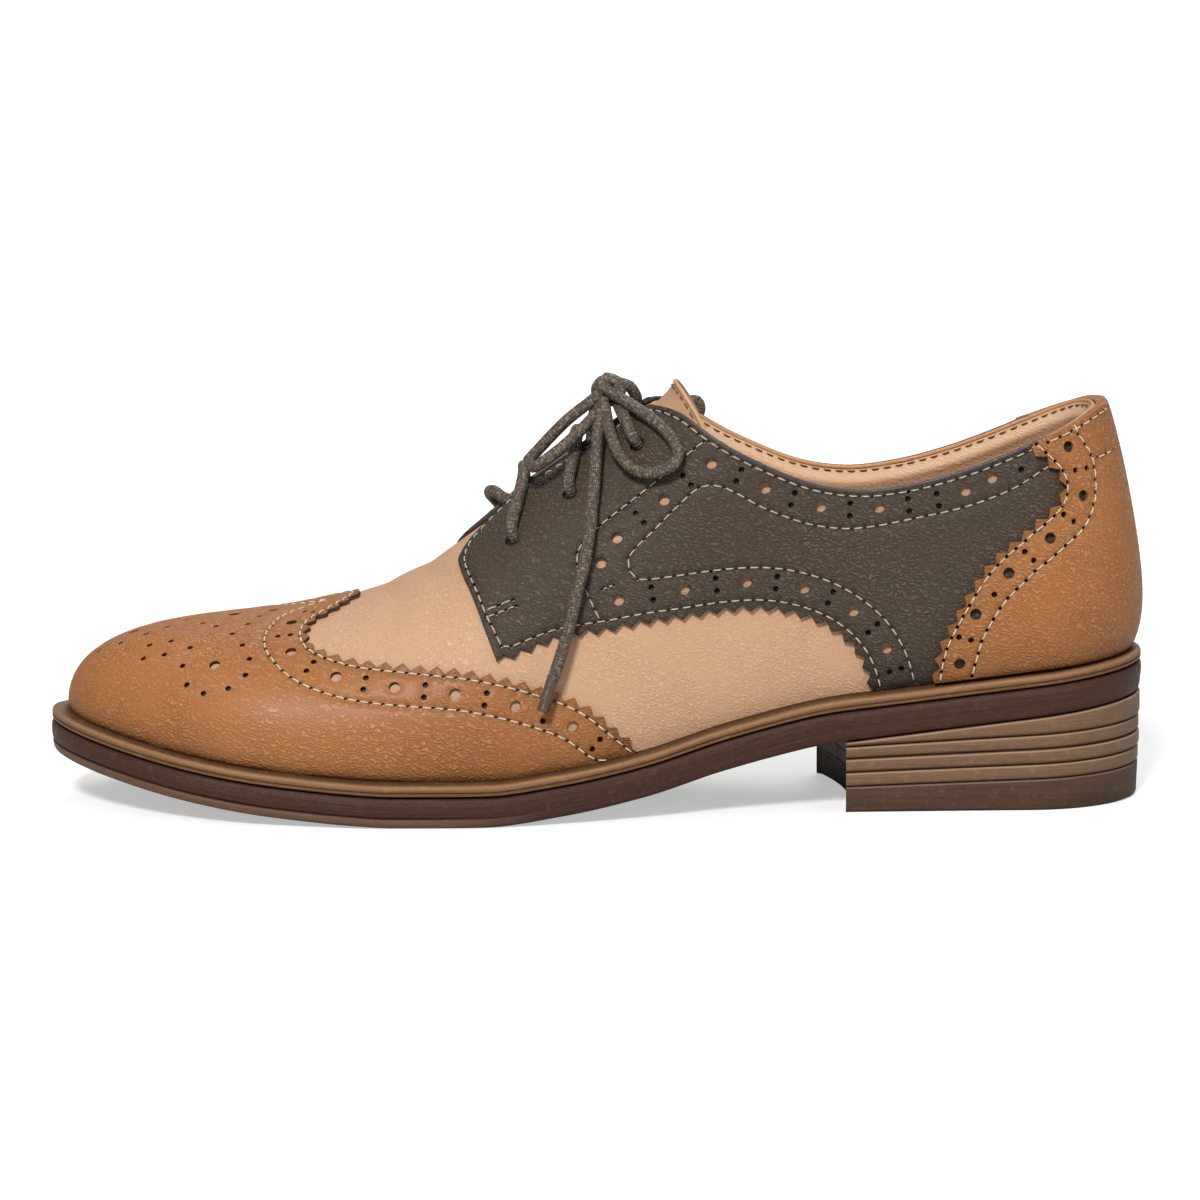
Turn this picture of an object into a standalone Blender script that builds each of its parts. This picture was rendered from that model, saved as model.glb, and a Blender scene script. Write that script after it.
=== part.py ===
import math

import bmesh
import bpy
import numpy as np
from mathutils import Vector
from mathutils.geometry import delaunay_2d_cdt

# A left wingtip brogue. Toe to -X, heel to +X, lateral side to -Y, floor at z = 0. Sizes in millimetres.
MM = 0.001
SOLE_LENGTH = 268.0
TOE_TIP_X = -SOLE_LENGTH / 2
HEEL_BACK_X = SOLE_LENGTH / 2
TOE_POLE_X = -78.0
HEEL_POLE_X = 105.0
TOE_INSET = 6.0
SIDE_INSET = 5.4
HEEL_INSET = 5.8
TOE_RUN = TOE_POLE_X - TOE_TIP_X - TOE_INSET
HEEL_RUN = HEEL_BACK_X - HEEL_INSET - HEEL_POLE_X
FIRST_STATION = TOE_POLE_X - TOE_RUN
LAST_STATION = HEEL_POLE_X + HEEL_RUN
BACK_SEAM = LAST_STATION - 0.35
LATERAL, MEDIAL = -1, 1
QUARTER_TURN = math.pi / 2

# Sole layers
OUTSOLE_THICK = 7.3
WELT_THICK = 2.8
LAYER_GAP = 0.3
SOLE_STACK = OUTSOLE_THICK + LAYER_GAP + WELT_THICK
SEAT_GAP = 0.4
INSOLE_INSET = 9.3
INSOLE_TOP = SOLE_STACK + 0.6

# Leather layers, measured out from the last's surface
WALL_THICK = 1.3
OVERLAY_LIFT = 0.3
WING_THICK = 1.1
QUARTER_THICK = 1.2
COUNTER_LIFT = 2.1
COUNTER_THICK = 1.1
OVERLAY_RISE = 0.8
TONGUE_DROP = 2.6
TONGUE_THICK = 1.8
BULGE_LEVEL = 0.2

# Saw-tooth edges
TOOTH_PITCH = 4.2
TOOTH_DEPTH = 1.7
EDGE_SAMPLES = 300
EDGE_MARGIN = 1.5
PLAIN_STEP = 5.0

# Charts unroll the last: length of the climb in the chart of the toe and in the charts of the sides,
# and the power that makes its steps even
TOE_CHART = 62.0
SIDE_CHART = 110.0
CHART_POWER = 0.8

# Lace
LACE_RADIUS = 1.7
AGLET_RADIUS = 1.45
EYELET_RADIUS = 2.0
EYELET_PUNCH = 16.0
LACE_SAMPLES = 13

# x, height of the sole's underside
SOLE_PROFILE = np.array([
    (-134, 11.4), (-118, 8.2), (-100, 4.9), (-80, 2.2), (-62, .6), (-50, 0), (-28, 0), (-10, 1.9), (10, 5.1),
    (30, 10.1), (44, 13.9), (52, 16.1), (57, 17.1), (66, 18.16), (134, 26.2)], float)
UNDERSIDE = 1

# x, lateral y, medial y of the sole before the round ends close it
SOLE_SIDES = np.array([
    (-134, -31, 43), (-100, -38, 44), (-75, -42.2, 45.5), (-55, -45, 45.5), (-35, -45.5, 42), (-10, -42, 34),
    (10, -37.5, 28), (30, -32.5, 25.5), (60, -28.5, 26.5), (105, -27.5, 27.5), (134, -27, 27)], float)
LATERAL_Y, MEDIAL_Y = 1, 2

# station, ridge height, ridge y, side round, crown round, bulge over the welt
SECTIONS = np.array([
    (-128, 41.4, 7.0, .71, .71, 0.6), (-110, 42.2, 6.5, .72, .72, 0.8), (-95, 42.8, 6.0, .76, .76, 1.0),
    (-78, 44.3, 5.0, .80, .80, 1.2), (-60, 48.5, 4.0, .85, .85, 1.5), (-43, 56.0, 3.0, .90, .90, 1.6),
    (-30, 64.2, 2.0, .95, .95, 1.6), (-15, 76.3, 1.2, 1.0, 1.0, 1.5), (0, 87.7, 0.6, .95, .95, 1.5),
    (13, 97.5, 0, .80, .90, 1.5), (30, 105.5, 0, .42, .85, 1.6), (62, 115.5, 0, .30, .80, 2.0),
    (105, 121.5, 0, .60, .80, 3.0), (128.2, 121.5, 0, 1.3, .80, 3.5)], float)
RIDGE_Z, RIDGE_Y, SIDE_ROUND, CROWN_ROUND, BULGE = 1, 2, 3, 4, 5

# station, climb from the welt (0) to the ridge (1) where the upper's wall ends: vamp, throat slot, collar
COLLAR = np.array([
    (-128, 1), (-24, 1), (-17, .885), (-5, .875), (11, .872), (13.5, .865), (16.9, .81), (20.7, .737),
    (26.3, .622), (34.7, .497), (43.6, .409), (52.5, .351), (61.6, .317), (70.5, .309), (79.6, .315),
    (88.5, .331), (97.4, .355), (104.6, .373), (113, .424), (118.8, .445), (128.2, .452)], float)
CLIMB = 1

# Edges of the overlays: station, climb
WING_EDGE = [
    (8.6, .010), (6.3, .022), (3, .050), (-4.7, .125), (-14.8, .198), (-30.9, .298), (-47.6, .390), (-63.5, .503),
    (-70.9, .645), (-70.5, .753), (-62.5, .895), (-57.8, .985)]
QUARTER_LOW_EDGE = [
    (-25.2, .312), (-13.3, .308), (2.5, .258), (21, .200), (39, .155), (48.1, .121), (58, .074), (63.1, .038),
    (65.9, .010)]
QUARTER_FRONT_EDGE = [(-32.0, .845), (-33.5, .776), (-33, .708), (-30.7, .566), (-28.4, .443)]
QUARTER_THROAT_EDGE = [
    (13.3, .885), (11, .893), (-.4, .889), (-13.1, .897), (-20.3, .923), (-25.6, .919), (-30.5, .880)]
COUNTER_EDGE = [
    (80.7, .010), (81.7, .029), (87.5, .092), (94, .151), (105, .214), (108.4, .252), (109.3, .284), (108.2, .314),
    (104.0, .371)]
EYELETS = [(-20.5, .677), (-6.6, .701), (9.7, .711)]

# height over the underside, inset: the outsole's edge from the floor up
SOLE_EDGE = [(0, 3.2), (0.9, 0.8), (2.1, 0.3), (2.5, 0.9), (2.9, 0.3), (5.4, 0), (OUTSOLE_THICK, 0.6)]
# height over the underside, inset: the welt's section, around
WELT_SECTION = [
    (OUTSOLE_THICK + LAYER_GAP, 0.9), (SOLE_STACK - 1.4, 0.2), (SOLE_STACK - 0.3, 0.4), (SOLE_STACK, 1.0),
    (SOLE_STACK, 8.7), (OUTSOLE_THICK + LAYER_GAP, 8.7)]

# Heel: breast corners and recess, seat level, then lines between the lifts
BREAST_LATERAL_X = 61.0
BREAST_MEDIAL_X = 57.6
BREAST_RECESS = 3.2
BREAST_STEPS = 8
HEEL_FLANK = 0.9
LINE_HALF = 0.25
LINE_DEPTH = 0.55
HEEL_TAPER = 1.1
# height at the breast, height at the back of each line between lifts, from the floor up
LIFT_LINES = [(9.9, 12.5), (13.2, 16.3), (16.2, 20.2)]
TOP_PIECE_HEIGHT = (6.3, 8.6)
TOP_PIECE_BEVEL = 0.7

# Station spacing of the faceted solids
FAN_STEPS = 8
HEEL_FAN_STEPS = 6
BODY_STEP = 9.2
WALL_ROWS = [0, .03, .08, .15, .24, .36, .50, .64, .78, .90, 1]
TONGUE_ROWS = 9
TONGUE_COLUMNS = 8
TONGUE_FRONT = -42.0
TONGUE_TOP = 22.0
TONGUE_TOP_SWEEP = 3.5
TONGUE_PERK = 3.4
TONGUE_HALF = (.26, .35)


def smooth(table, column, at):
    """Read a column between the rows of a table with a curve that never overshoots."""
    rows, values = table[:, 0], table[:, column]
    widths = np.diff(rows)
    slopes = np.diff(values) / widths
    tangents = np.zeros(len(rows))
    tangents[0], tangents[-1] = slopes[0], slopes[-1]
    for i in range(1, len(rows) - 1):
        if slopes[i - 1] * slopes[i] > 0:
            before, after = 2 * widths[i] + widths[i - 1], widths[i] + 2 * widths[i - 1]
            tangents[i] = (before + after) / (before / slopes[i - 1] + after / slopes[i])
    at = np.clip(np.asarray(at, float), rows[0], rows[-1])
    k = np.clip(np.searchsorted(rows, at, side="right") - 1, 0, len(widths) - 1)
    t = (at - rows[k]) / widths[k]
    start = (1 + 2 * t) * (1 - t) ** 2 * values[k] + t * (1 - t) ** 2 * widths[k] * tangents[k]
    return start + t * t * (3 - 2 * t) * values[k + 1] + t * t * (t - 1) * widths[k] * tangents[k + 1]


def sole_bottom(x):
    return smooth(SOLE_PROFILE, UNDERSIDE, x)


def outline(side, station, toe, flank, heel):
    """Plan point of the sole's outline, taken in by the three insets."""
    toe_turn = np.clip((TOE_POLE_X - station) / TOE_RUN, 0, 1) * QUARTER_TURN
    heel_turn = np.clip((station - HEEL_POLE_X) / HEEL_RUN, 0, 1) * QUARTER_TURN
    toe_x = TOE_POLE_X - (TOE_POLE_X - TOE_TIP_X - toe) * np.sin(toe_turn)
    heel_x = HEEL_POLE_X + (HEEL_BACK_X - heel - HEEL_POLE_X) * np.sin(heel_turn)
    x = np.where(station < TOE_POLE_X, toe_x, np.where(station > HEEL_POLE_X, heel_x, station))
    axis = smooth(SECTIONS, RIDGE_Y, station)
    lateral = smooth(SOLE_SIDES, LATERAL_Y, x) + flank
    medial = smooth(SOLE_SIDES, MEDIAL_Y, x) - flank
    edge = np.where(np.asarray(side) < 0, lateral, medial)
    return x, axis + (edge - axis) * np.cos(toe_turn) * np.cos(heel_turn)


def last(side, station, climb):
    """Point of the last's surface; climb runs from 0 at the welt to 1 at the ridge."""
    foot_x, foot_y = outline(side, station, TOE_INSET, SIDE_INSET, HEEL_INSET)
    axis_x = np.clip(station, TOE_POLE_X, HEEL_POLE_X)
    axis_y = smooth(SECTIONS, RIDGE_Y, axis_x)
    reach = np.hypot(foot_x - axis_x, foot_y - axis_y)
    turn = np.clip(climb, 0, 1) * QUARTER_TURN
    height = np.sin(turn) ** smooth(SECTIONS, CROWN_ROUND, station)
    spread = np.clip(np.cos(turn), 0, 1) ** smooth(SECTIONS, SIDE_ROUND, station)
    swell = height / BULGE_LEVEL * np.exp(1 - height / BULGE_LEVEL) * (1 - height)
    spread = spread + smooth(SECTIONS, BULGE, station) / reach * swell
    x = axis_x + (foot_x - axis_x) * spread
    y = axis_y + (foot_y - axis_y) * spread
    foot_z = sole_bottom(foot_x) + SOLE_STACK + SEAT_GAP
    z = foot_z + (smooth(SECTIONS, RIDGE_Z, x) - foot_z) * height
    return np.stack([x, y, z], -1)


def slopes_of_last(side, station, climb):
    """Derivatives of the last along the station and along the climb."""
    small_station, small_climb = 0.05, 0.0005
    along = (last(side, station + small_station, climb) - last(side, station - small_station, climb))
    above, below = np.clip(climb + small_climb, 0, 1), np.clip(climb - small_climb, 0, 1)
    up = last(side, station, above) - last(side, station, below)
    return along / (2 * small_station), up / (above - below)[..., None]


def normal(side, station, climb):
    along, up = slopes_of_last(side, station, climb)
    out = np.cross(along, up) * -np.asarray(side, float)[..., None]
    return out / np.maximum(np.linalg.norm(out, axis=-1, keepdims=True), 1e-9)


def lifted(side, station, climb, lift):
    """Point out from the last's surface; over the welt it moves straight out, never down."""
    side, station, climb = np.broadcast_arrays(*(np.asarray(v, float) for v in (side, station, climb)))
    out = normal(side, station, climb)
    out[..., 2] = np.maximum(out[..., 2], 0)
    out = out / np.linalg.norm(out, axis=-1, keepdims=True)
    return last(side, station, climb) + out * np.asarray(lift, float)[..., None]


def climb_at_rise(station, rise):
    """Climb of a point this many millimetres over the welt seat."""
    foot_x, _ = outline(LATERAL, station, TOE_INSET, SIDE_INSET, HEEL_INSET)
    tall = smooth(SECTIONS, RIDGE_Z, station) - sole_bottom(foot_x) - SOLE_STACK - SEAT_GAP
    return np.arcsin((rise / tall) ** (1 / smooth(SECTIONS, CROWN_ROUND, station))) / QUARTER_TURN


def stations():
    toe = np.linspace(FIRST_STATION, TOE_POLE_X, FAN_STEPS, endpoint=False)
    steps = round((HEEL_POLE_X - TOE_POLE_X) / BODY_STEP)
    body = np.linspace(TOE_POLE_X, HEEL_POLE_X, steps, endpoint=False)
    heel = np.linspace(HEEL_POLE_X, LAST_STATION, HEEL_FAN_STEPS + 1)
    return np.concatenate([toe, body, heel])


def front_chart(side, station, climb):
    """Flat place of a point seen from over the toe: straight along the foot, polar round the toe."""
    turn = np.clip((TOE_POLE_X - station) / TOE_RUN, 0, 1) * QUARTER_TURN
    reach = (1 - climb ** CHART_POWER) * TOE_CHART
    return np.stack([np.maximum(station, TOE_POLE_X) - reach * np.sin(turn), side * reach * np.cos(turn)], -1)


def front_unchart(place):
    a, b = place[:, 0], place[:, 1]
    side = np.where(b < 0, LATERAL, MEDIAL)
    turn = np.arctan2(np.maximum(TOE_POLE_X - a, 0), np.abs(b))
    in_toe = a < TOE_POLE_X
    reach = np.where(in_toe, np.hypot(a - TOE_POLE_X, b), np.abs(b))
    station = np.where(in_toe, TOE_POLE_X - turn / QUARTER_TURN * TOE_RUN, a)
    return side, station, np.clip(1 - reach / TOE_CHART, 0, 1) ** (1 / CHART_POWER)


def back_chart(side, station, climb):
    """Flat place of a point seen from behind, measured round from the back seam."""
    return np.stack([side * (LAST_STATION - station), climb ** CHART_POWER * SIDE_CHART], -1)


def back_unchart(place):
    side = np.where(place[:, 0] < 0, LATERAL, MEDIAL)
    return side, LAST_STATION - np.abs(place[:, 0]), (place[:, 1] / SIDE_CHART) ** (1 / CHART_POWER)


def side_chart(side, station, climb):
    return np.stack([station, climb ** CHART_POWER * SIDE_CHART], -1)


def smooth_edge(rows):
    """Many points along a smooth curve through a short table of station and climb."""
    rows = np.array(rows, float)
    points = last(np.full(len(rows), LATERAL), rows[:, 0], rows[:, 1])
    steps = np.linalg.norm(np.diff(points, axis=0), axis=1)
    travel = np.concatenate([[0], np.cumsum(steps)])
    table = np.column_stack([travel, rows])
    at = np.linspace(0, travel[-1], EDGE_SAMPLES)
    return smooth(table, 1, at), smooth(table, 2, at)


def even_points(station, climb, step):
    """Points at even steps of true length along a dense edge, with the edge's direction."""
    side = np.full(len(station), LATERAL)
    points = last(side, station, climb)
    travel = np.concatenate([[0], np.cumsum(np.linalg.norm(np.diff(points, axis=0), axis=1))])
    count = max(2, round(travel[-1] / step))
    at = np.linspace(0, travel[-1], count + 1)
    direction = np.stack([np.interp(at, travel, np.gradient(points[:, i], travel)) for i in range(3)], -1)
    return np.interp(at, travel, station), np.interp(at, travel, climb), direction


def move_across(station, climb, direction, distance):
    """Slide points over the last, square to the edge they are on."""
    side = np.full(len(station), LATERAL)
    along, up = slopes_of_last(side, station, climb)
    across = np.cross(normal(side, station, climb), direction)
    across = across / np.linalg.norm(across, axis=-1, keepdims=True) * distance[:, None]
    aa, au, uu = (along * along).sum(-1), (along * up).sum(-1), (up * up).sum(-1)
    xa, xu = (across * along).sum(-1), (across * up).sum(-1)
    det = aa * uu - au * au
    return station + (xa * uu - xu * au) / det, climb + (xu * aa - xa * au) / det


def saw_edge(rows):
    station, climb, direction = even_points(*smooth_edge(rows), TOOTH_PITCH / 2)
    swing = np.where(np.arange(len(station)) % 2, 0.5, -0.5) * TOOTH_DEPTH
    swing[0] = swing[-1] = 0
    station, climb = move_across(station, climb, direction, swing)
    return np.stack([station, climb], -1)


def seat_edge(start, end):
    """The edge of an overlay along the welt between two stations."""
    inside = [s for s in stations() if min(start, end) + 2 < s < max(start, end) - 2]
    if end < start:
        inside = inside[::-1]
    at = np.array([start] + inside + [end])
    return np.stack([at, climb_at_rise(at, OVERLAY_RISE)], -1)


def plain_edge(rows):
    station, climb, _ = even_points(*smooth_edge(rows), PLAIN_STEP)
    return np.stack([station, climb], -1)


def seam_edge():
    """The quarters' back edge, from over the welt to under the collar."""
    top = smooth(COLLAR, CLIMB, BACK_SEAM)
    low = climb_at_rise(BACK_SEAM, OVERLAY_RISE)
    return np.array([(BACK_SEAM, top * row) for row in WALL_ROWS[1:-1] if top * row > low + .005])


def wall_nodes():
    """Stations and climbs of the upper's own grid, so overlays bend at the same places."""
    station = stations()
    top = smooth(COLLAR, CLIMB, station)
    return np.array([(s, t * row) for s, t in zip(station, top) for row in WALL_ROWS])


def inside_loop(places, loop):
    """Which places lie inside a closed loop, away from its edge."""
    start, end = loop, np.roll(loop, -1, axis=0)
    px, py = places[:, None, 0], places[:, None, 1]
    spans = (start[:, 1] > py) != (end[:, 1] > py)
    rise = np.where(end[:, 1] == start[:, 1], 1e-9, end[:, 1] - start[:, 1])
    cross_x = (end[:, 0] - start[:, 0]) * (py - start[:, 1]) / rise + start[:, 0]
    within = (spans & (px < cross_x)).sum(1) % 2 == 1
    edge = end - start
    share = ((px - start[:, 0]) * edge[:, 0] + (py - start[:, 1]) * edge[:, 1]) / np.maximum((edge ** 2).sum(1), 1e-9)
    share = np.clip(share, 0, 1)
    gap = np.hypot(px - start[:, 0] - share * edge[:, 0], py - start[:, 1] - share * edge[:, 1]).min(1)
    return within & (gap > EDGE_MARGIN)


bpy.context.preferences.edit.use_global_undo = False
for old in list(bpy.data.objects):
    bpy.data.objects.remove(old)
parts = bpy.data.collections.new("brogue_shoe")
tools = bpy.data.collections.new("tools")
bpy.context.scene.collection.children.link(parts)
bpy.context.scene.collection.children.link(tools)


def material(name, colour, roughness):
    made = bpy.data.materials.new(name)
    made.use_nodes = True
    shader = made.node_tree.nodes["Principled BSDF"]
    shader.inputs["Base Color"].default_value = (*colour, 1)
    shader.inputs["Roughness"].default_value = roughness
    shader.inputs["Metallic"].default_value = 0
    return made


TAN = material("tan_leather", (.30, .13, .045), .42)
PALE = material("pale_leather", (.55, .33, .19), .5)
GREY = material("grey_leather", (.075, .062, .05), .55)
WELT_BROWN = material("welt_leather", (.16, .085, .045), .5)
SOLE_BROWN = material("sole_leather", (.06, .03, .018), .5)
HEEL_BROWN = material("heel_leather", (.085, .045, .028), .5)
RUBBER = material("top_piece_rubber", (.05, .03, .02), .7)
INSOLE_BEIGE = material("insole_leather", (.5, .36, .24), .6)
LACE_BROWN = material("lace_cord", (.05, .04, .032), .6)
AGLET_BROWN = material("lace_tip", (.06, .045, .035), .35)


def add_mesh(name, points, faces, look, merge=0.01):
    """A mesh object from millimetre points; coincident points are merged and faces turned out."""
    mesh = bpy.data.meshes.new(name)
    work = bmesh.new()
    verts = [work.verts.new(Vector(p) * MM) for p in points]
    for face in faces:
        corners = [verts[i] for i in face]
        if len(set(corners)) > 2:
            work.faces.new(corners)
    bmesh.ops.remove_doubles(work, verts=work.verts, dist=merge * MM)
    bmesh.ops.recalc_face_normals(work, faces=work.faces)
    work.to_mesh(mesh)
    work.free()
    mesh.materials.append(look)
    made = bpy.data.objects.new(name, mesh)
    parts.objects.link(made)
    return made


def thicken(made, thickness, offset):
    solid = made.modifiers.new("thickness", "SOLIDIFY")
    solid.thickness = thickness * MM
    solid.offset = offset


def ring_of_sides(spots):
    """Sole stations once round: toe, lateral side, heel, medial side."""
    lateral = [(LATERAL, s) for s in spots]
    medial = [(MEDIAL, s) for s in spots[-2:0:-1]]
    return np.array(lateral + medial, float)


def ring_points(ring, height, inset):
    side, station = ring[:, 0], ring[:, 1]
    x, y = outline(side, station, inset, inset, inset)
    return np.stack([x, y, sole_bottom(x) + height], -1)


def walls_between(levels, count, closed=False):
    """Faces joining one ring of points to the next."""
    faces = []
    for k in range(levels if closed else levels - 1):
        low, high = k * count, (k + 1) % levels * count
        faces += [(low + i, low + (i + 1) % count, high + (i + 1) % count, high + i) for i in range(count)]
    return faces


def cross_strips(first, count):
    """Faces right across a ring, from each lateral point to the medial point opposite it."""
    faces = []
    for i in range(count // 2):
        near, far = (count - i) % count, count - i - 1
        corners = [i, i + 1, far, near]
        faces.append([first + c for c in dict.fromkeys(corners)])
    return faces


# Outsole, welt and insole
ring = ring_of_sides(stations())
count = len(ring)
levels = [ring_points(ring, height, inset) for height, inset in SOLE_EDGE]
faces = walls_between(len(levels), count) + cross_strips(0, count) + cross_strips((len(levels) - 1) * count, count)
add_mesh("outsole", np.concatenate(levels), faces, SOLE_BROWN)

levels = [ring_points(ring, height, inset) for height, inset in WELT_SECTION]
add_mesh("welt", np.concatenate(levels), walls_between(len(levels), count, closed=True), WELT_BROWN)

levels = [ring_points(ring, height, INSOLE_INSET) for height in (OUTSOLE_THICK + LAYER_GAP, INSOLE_TOP)]
faces = walls_between(2, count) + cross_strips(0, count) + cross_strips(count, count)
add_mesh("insole", np.concatenate(levels), faces, INSOLE_BEIGE)


def heel_ring(inset):
    """Plan of the heel: hollow breast, two sides and the round back."""
    back = [s for s in stations() if s > HEEL_POLE_X]
    lateral = [BREAST_LATERAL_X] + [s for s in stations() if BREAST_LATERAL_X + 4 < s <= HEEL_POLE_X] + back
    medial = back[-2::-1] + [s for s in stations() if BREAST_MEDIAL_X + 4 < s <= HEEL_POLE_X][::-1] + [BREAST_MEDIAL_X]
    spots = np.array([(LATERAL, s) for s in lateral] + [(MEDIAL, s) for s in medial], float)
    x, y = outline(spots[:, 0], spots[:, 1], inset, inset, inset)
    share = np.arange(1, BREAST_STEPS) / BREAST_STEPS
    breast_x = x[-1] + (x[0] - x[-1]) * share + BREAST_RECESS * (1 - (2 * share - 1) ** 2)
    breast_y = y[-1] + (y[0] - y[-1]) * share
    return np.concatenate([x, breast_x]), np.concatenate([y, breast_y])


def heel_level(front, back, inset):
    """A heel ring on a plane that climbs evenly from the breast to the back."""
    x, y = heel_ring(inset)
    share = (x - BREAST_LATERAL_X) / (HEEL_BACK_X - BREAST_LATERAL_X)
    return np.stack([x, y, front + (back - front) * share], -1)


def stack(name, levels, look):
    count = len(levels[0])
    top = (len(levels) - 1) * count
    faces = walls_between(len(levels), count)
    faces += [tuple(range(count)), tuple(range(top, top + count))]
    add_mesh(name, np.concatenate(levels), faces, look)


# Heel stack and top piece; the heel narrows a little from the seat to the floor
seat = [float(sole_bottom(x)) - LAYER_GAP for x in (BREAST_LATERAL_X, HEEL_BACK_X)]
low, high = TOP_PIECE_HEIGHT
levels = [heel_level(low, high, HEEL_FLANK + HEEL_TAPER * .6)]
for front, back in LIFT_LINES:
    inset = HEEL_FLANK + HEEL_TAPER * .6 * (1 - front / seat[0])
    levels.append(heel_level(front - LINE_HALF, back - LINE_HALF, inset))
    levels.append(heel_level(front, back, inset + LINE_DEPTH))
    levels.append(heel_level(front + LINE_HALF, back + LINE_HALF, inset))
levels.append(heel_level(seat[0], seat[1], HEEL_FLANK))
stack("heel_stack", levels, HEEL_BROWN)

inset = HEEL_FLANK + HEEL_TAPER
levels = [heel_level(0, 0, inset + TOP_PIECE_BEVEL), heel_level(TOP_PIECE_BEVEL, TOP_PIECE_BEVEL, inset)]
levels.append(heel_level(low - LAYER_GAP, high - LAYER_GAP, HEEL_FLANK + HEEL_TAPER * .6))
stack("heel_top_piece", levels, RUBBER)

# Upper: one wall over the last, open at the collar, the throat and underneath
station = stations()
top = smooth(COLLAR, CLIMB, station)
rows = len(WALL_ROWS)
points, faces = [], []
for side in (LATERAL, MEDIAL):
    first = len(points)
    for s, t in zip(station, top):
        points += list(last(np.full(rows, side), np.full(rows, s), t * np.array(WALL_ROWS)))
    for i in range(len(station) - 1):
        for j in range(rows - 1):
            corner = first + i * rows + j
            quad = (corner, corner + rows, corner + rows + 1, corner + 1)
            faces.append(quad if side < 0 else quad[::-1])
upper = add_mesh("upper", points, faces, PALE)
thicken(upper, WALL_THICK, -1)


def overlay(name, loop, nodes, unchart, lift, thickness, look):
    """A layer over the last, cut to a loop of the chart."""
    inner = nodes[inside_loop(nodes, loop)]
    places = [Vector(p) for p in np.concatenate([loop, inner])]
    border = [(i, (i + 1) % len(loop)) for i in range(len(loop))]
    flat, _, faces, _, _, _ = delaunay_2d_cdt(places, border, [], 1, 1e-5)
    side, station, climb = unchart(np.array([(p.x, p.y) for p in flat]))
    made = add_mesh(name, lifted(side, station, climb, lift), faces, look)
    face_out(made, lifted(side, station, climb, lift + 1), lifted(side, station, climb, lift))
    thicken(made, thickness, 1)
    return made


def face_out(made, far, near):
    """Turn a sheet so that its faces look away from the foot."""
    outward = np.mean(far - near, axis=0)
    away = far - near
    work = bmesh.new()
    work.from_mesh(made.data)
    work.faces.ensure_lookup_table()
    points = near * MM
    votes = 0
    for face in work.faces:
        centre = np.array(face.calc_center_median())
        nearest = np.argmin(((points - centre) ** 2).sum(1))
        votes += 1 if np.dot(np.array(face.normal), away[nearest]) > 0 else -1
    if votes < 0:
        bmesh.ops.reverse_faces(work, faces=work.faces)
    work.to_mesh(made.data)
    work.free()


nodes = wall_nodes()
both = np.concatenate([np.column_stack([np.full(len(nodes), side), nodes]) for side in (LATERAL, MEDIAL)])

# Wing cap: saw-tooth wings both sides, closed round the toe along the welt
saw = saw_edge(WING_EDGE)
seat_row = seat_edge(WING_EDGE[0][0], FIRST_STATION)
loop = np.concatenate([
    front_chart(LATERAL, saw[:, 0], saw[:, 1]),
    front_chart(MEDIAL, saw[::-1, 0], saw[::-1, 1]),
    front_chart(MEDIAL, seat_row[1:, 0], seat_row[1:, 1]),
    front_chart(LATERAL, seat_row[-2:0:-1, 0], seat_row[-2:0:-1, 1])])
overlay("wing_cap", loop, front_chart(both[:, 0], both[:, 1], both[:, 2]), front_unchart,
        OVERLAY_LIFT, WING_THICK, TAN)


def collar_edge(start, end):
    inside = [s for s in stations() if start + 2 < s < end - 2]
    at = np.array([start] + inside + [end])
    return np.stack([at, smooth(COLLAR, CLIMB, at)], -1)


def only_side(side):
    return lambda place: (np.full(len(place), side), place[:, 0], (place[:, 1] / SIDE_CHART) ** (1 / CHART_POWER))


# Quarters: saw-tooth lower edge, welt, back seam, collar, throat, front edge
saw = saw_edge(QUARTER_LOW_EDGE)
rim = np.concatenate([
    saw, seat_edge(QUARTER_LOW_EDGE[-1][0] + .4, BACK_SEAM), seam_edge(), collar_edge(14.5, BACK_SEAM)[::-1],
    plain_edge(QUARTER_THROAT_EDGE), plain_edge(QUARTER_FRONT_EDGE)])
loop = side_chart(LATERAL, rim[:, 0], rim[:, 1])
grid = side_chart(LATERAL, nodes[:, 0], nodes[:, 1])
quarter_lateral = overlay("quarter_lateral", loop, grid, only_side(LATERAL), OVERLAY_LIFT, QUARTER_THICK, GREY)
quarter_medial = overlay("quarter_medial", loop, grid, only_side(MEDIAL), OVERLAY_LIFT, QUARTER_THICK, GREY)

# Heel counter over the quarters
saw = saw_edge(COUNTER_EDGE)
collar = collar_edge(COUNTER_EDGE[-1][0] + .4, LAST_STATION)
seat_row = seat_edge(COUNTER_EDGE[0][0] + .4, LAST_STATION)
half = np.concatenate([seat_row[::-1], saw, collar])
loop = np.concatenate([
    back_chart(LATERAL, half[:, 0], half[:, 1]), back_chart(MEDIAL, half[-2:0:-1, 0], half[-2:0:-1, 1])])
overlay("heel_counter", loop, back_chart(both[:, 0], both[:, 1], both[:, 2]), back_unchart,
        COUNTER_LIFT, COUNTER_THICK, TAN)

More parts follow.
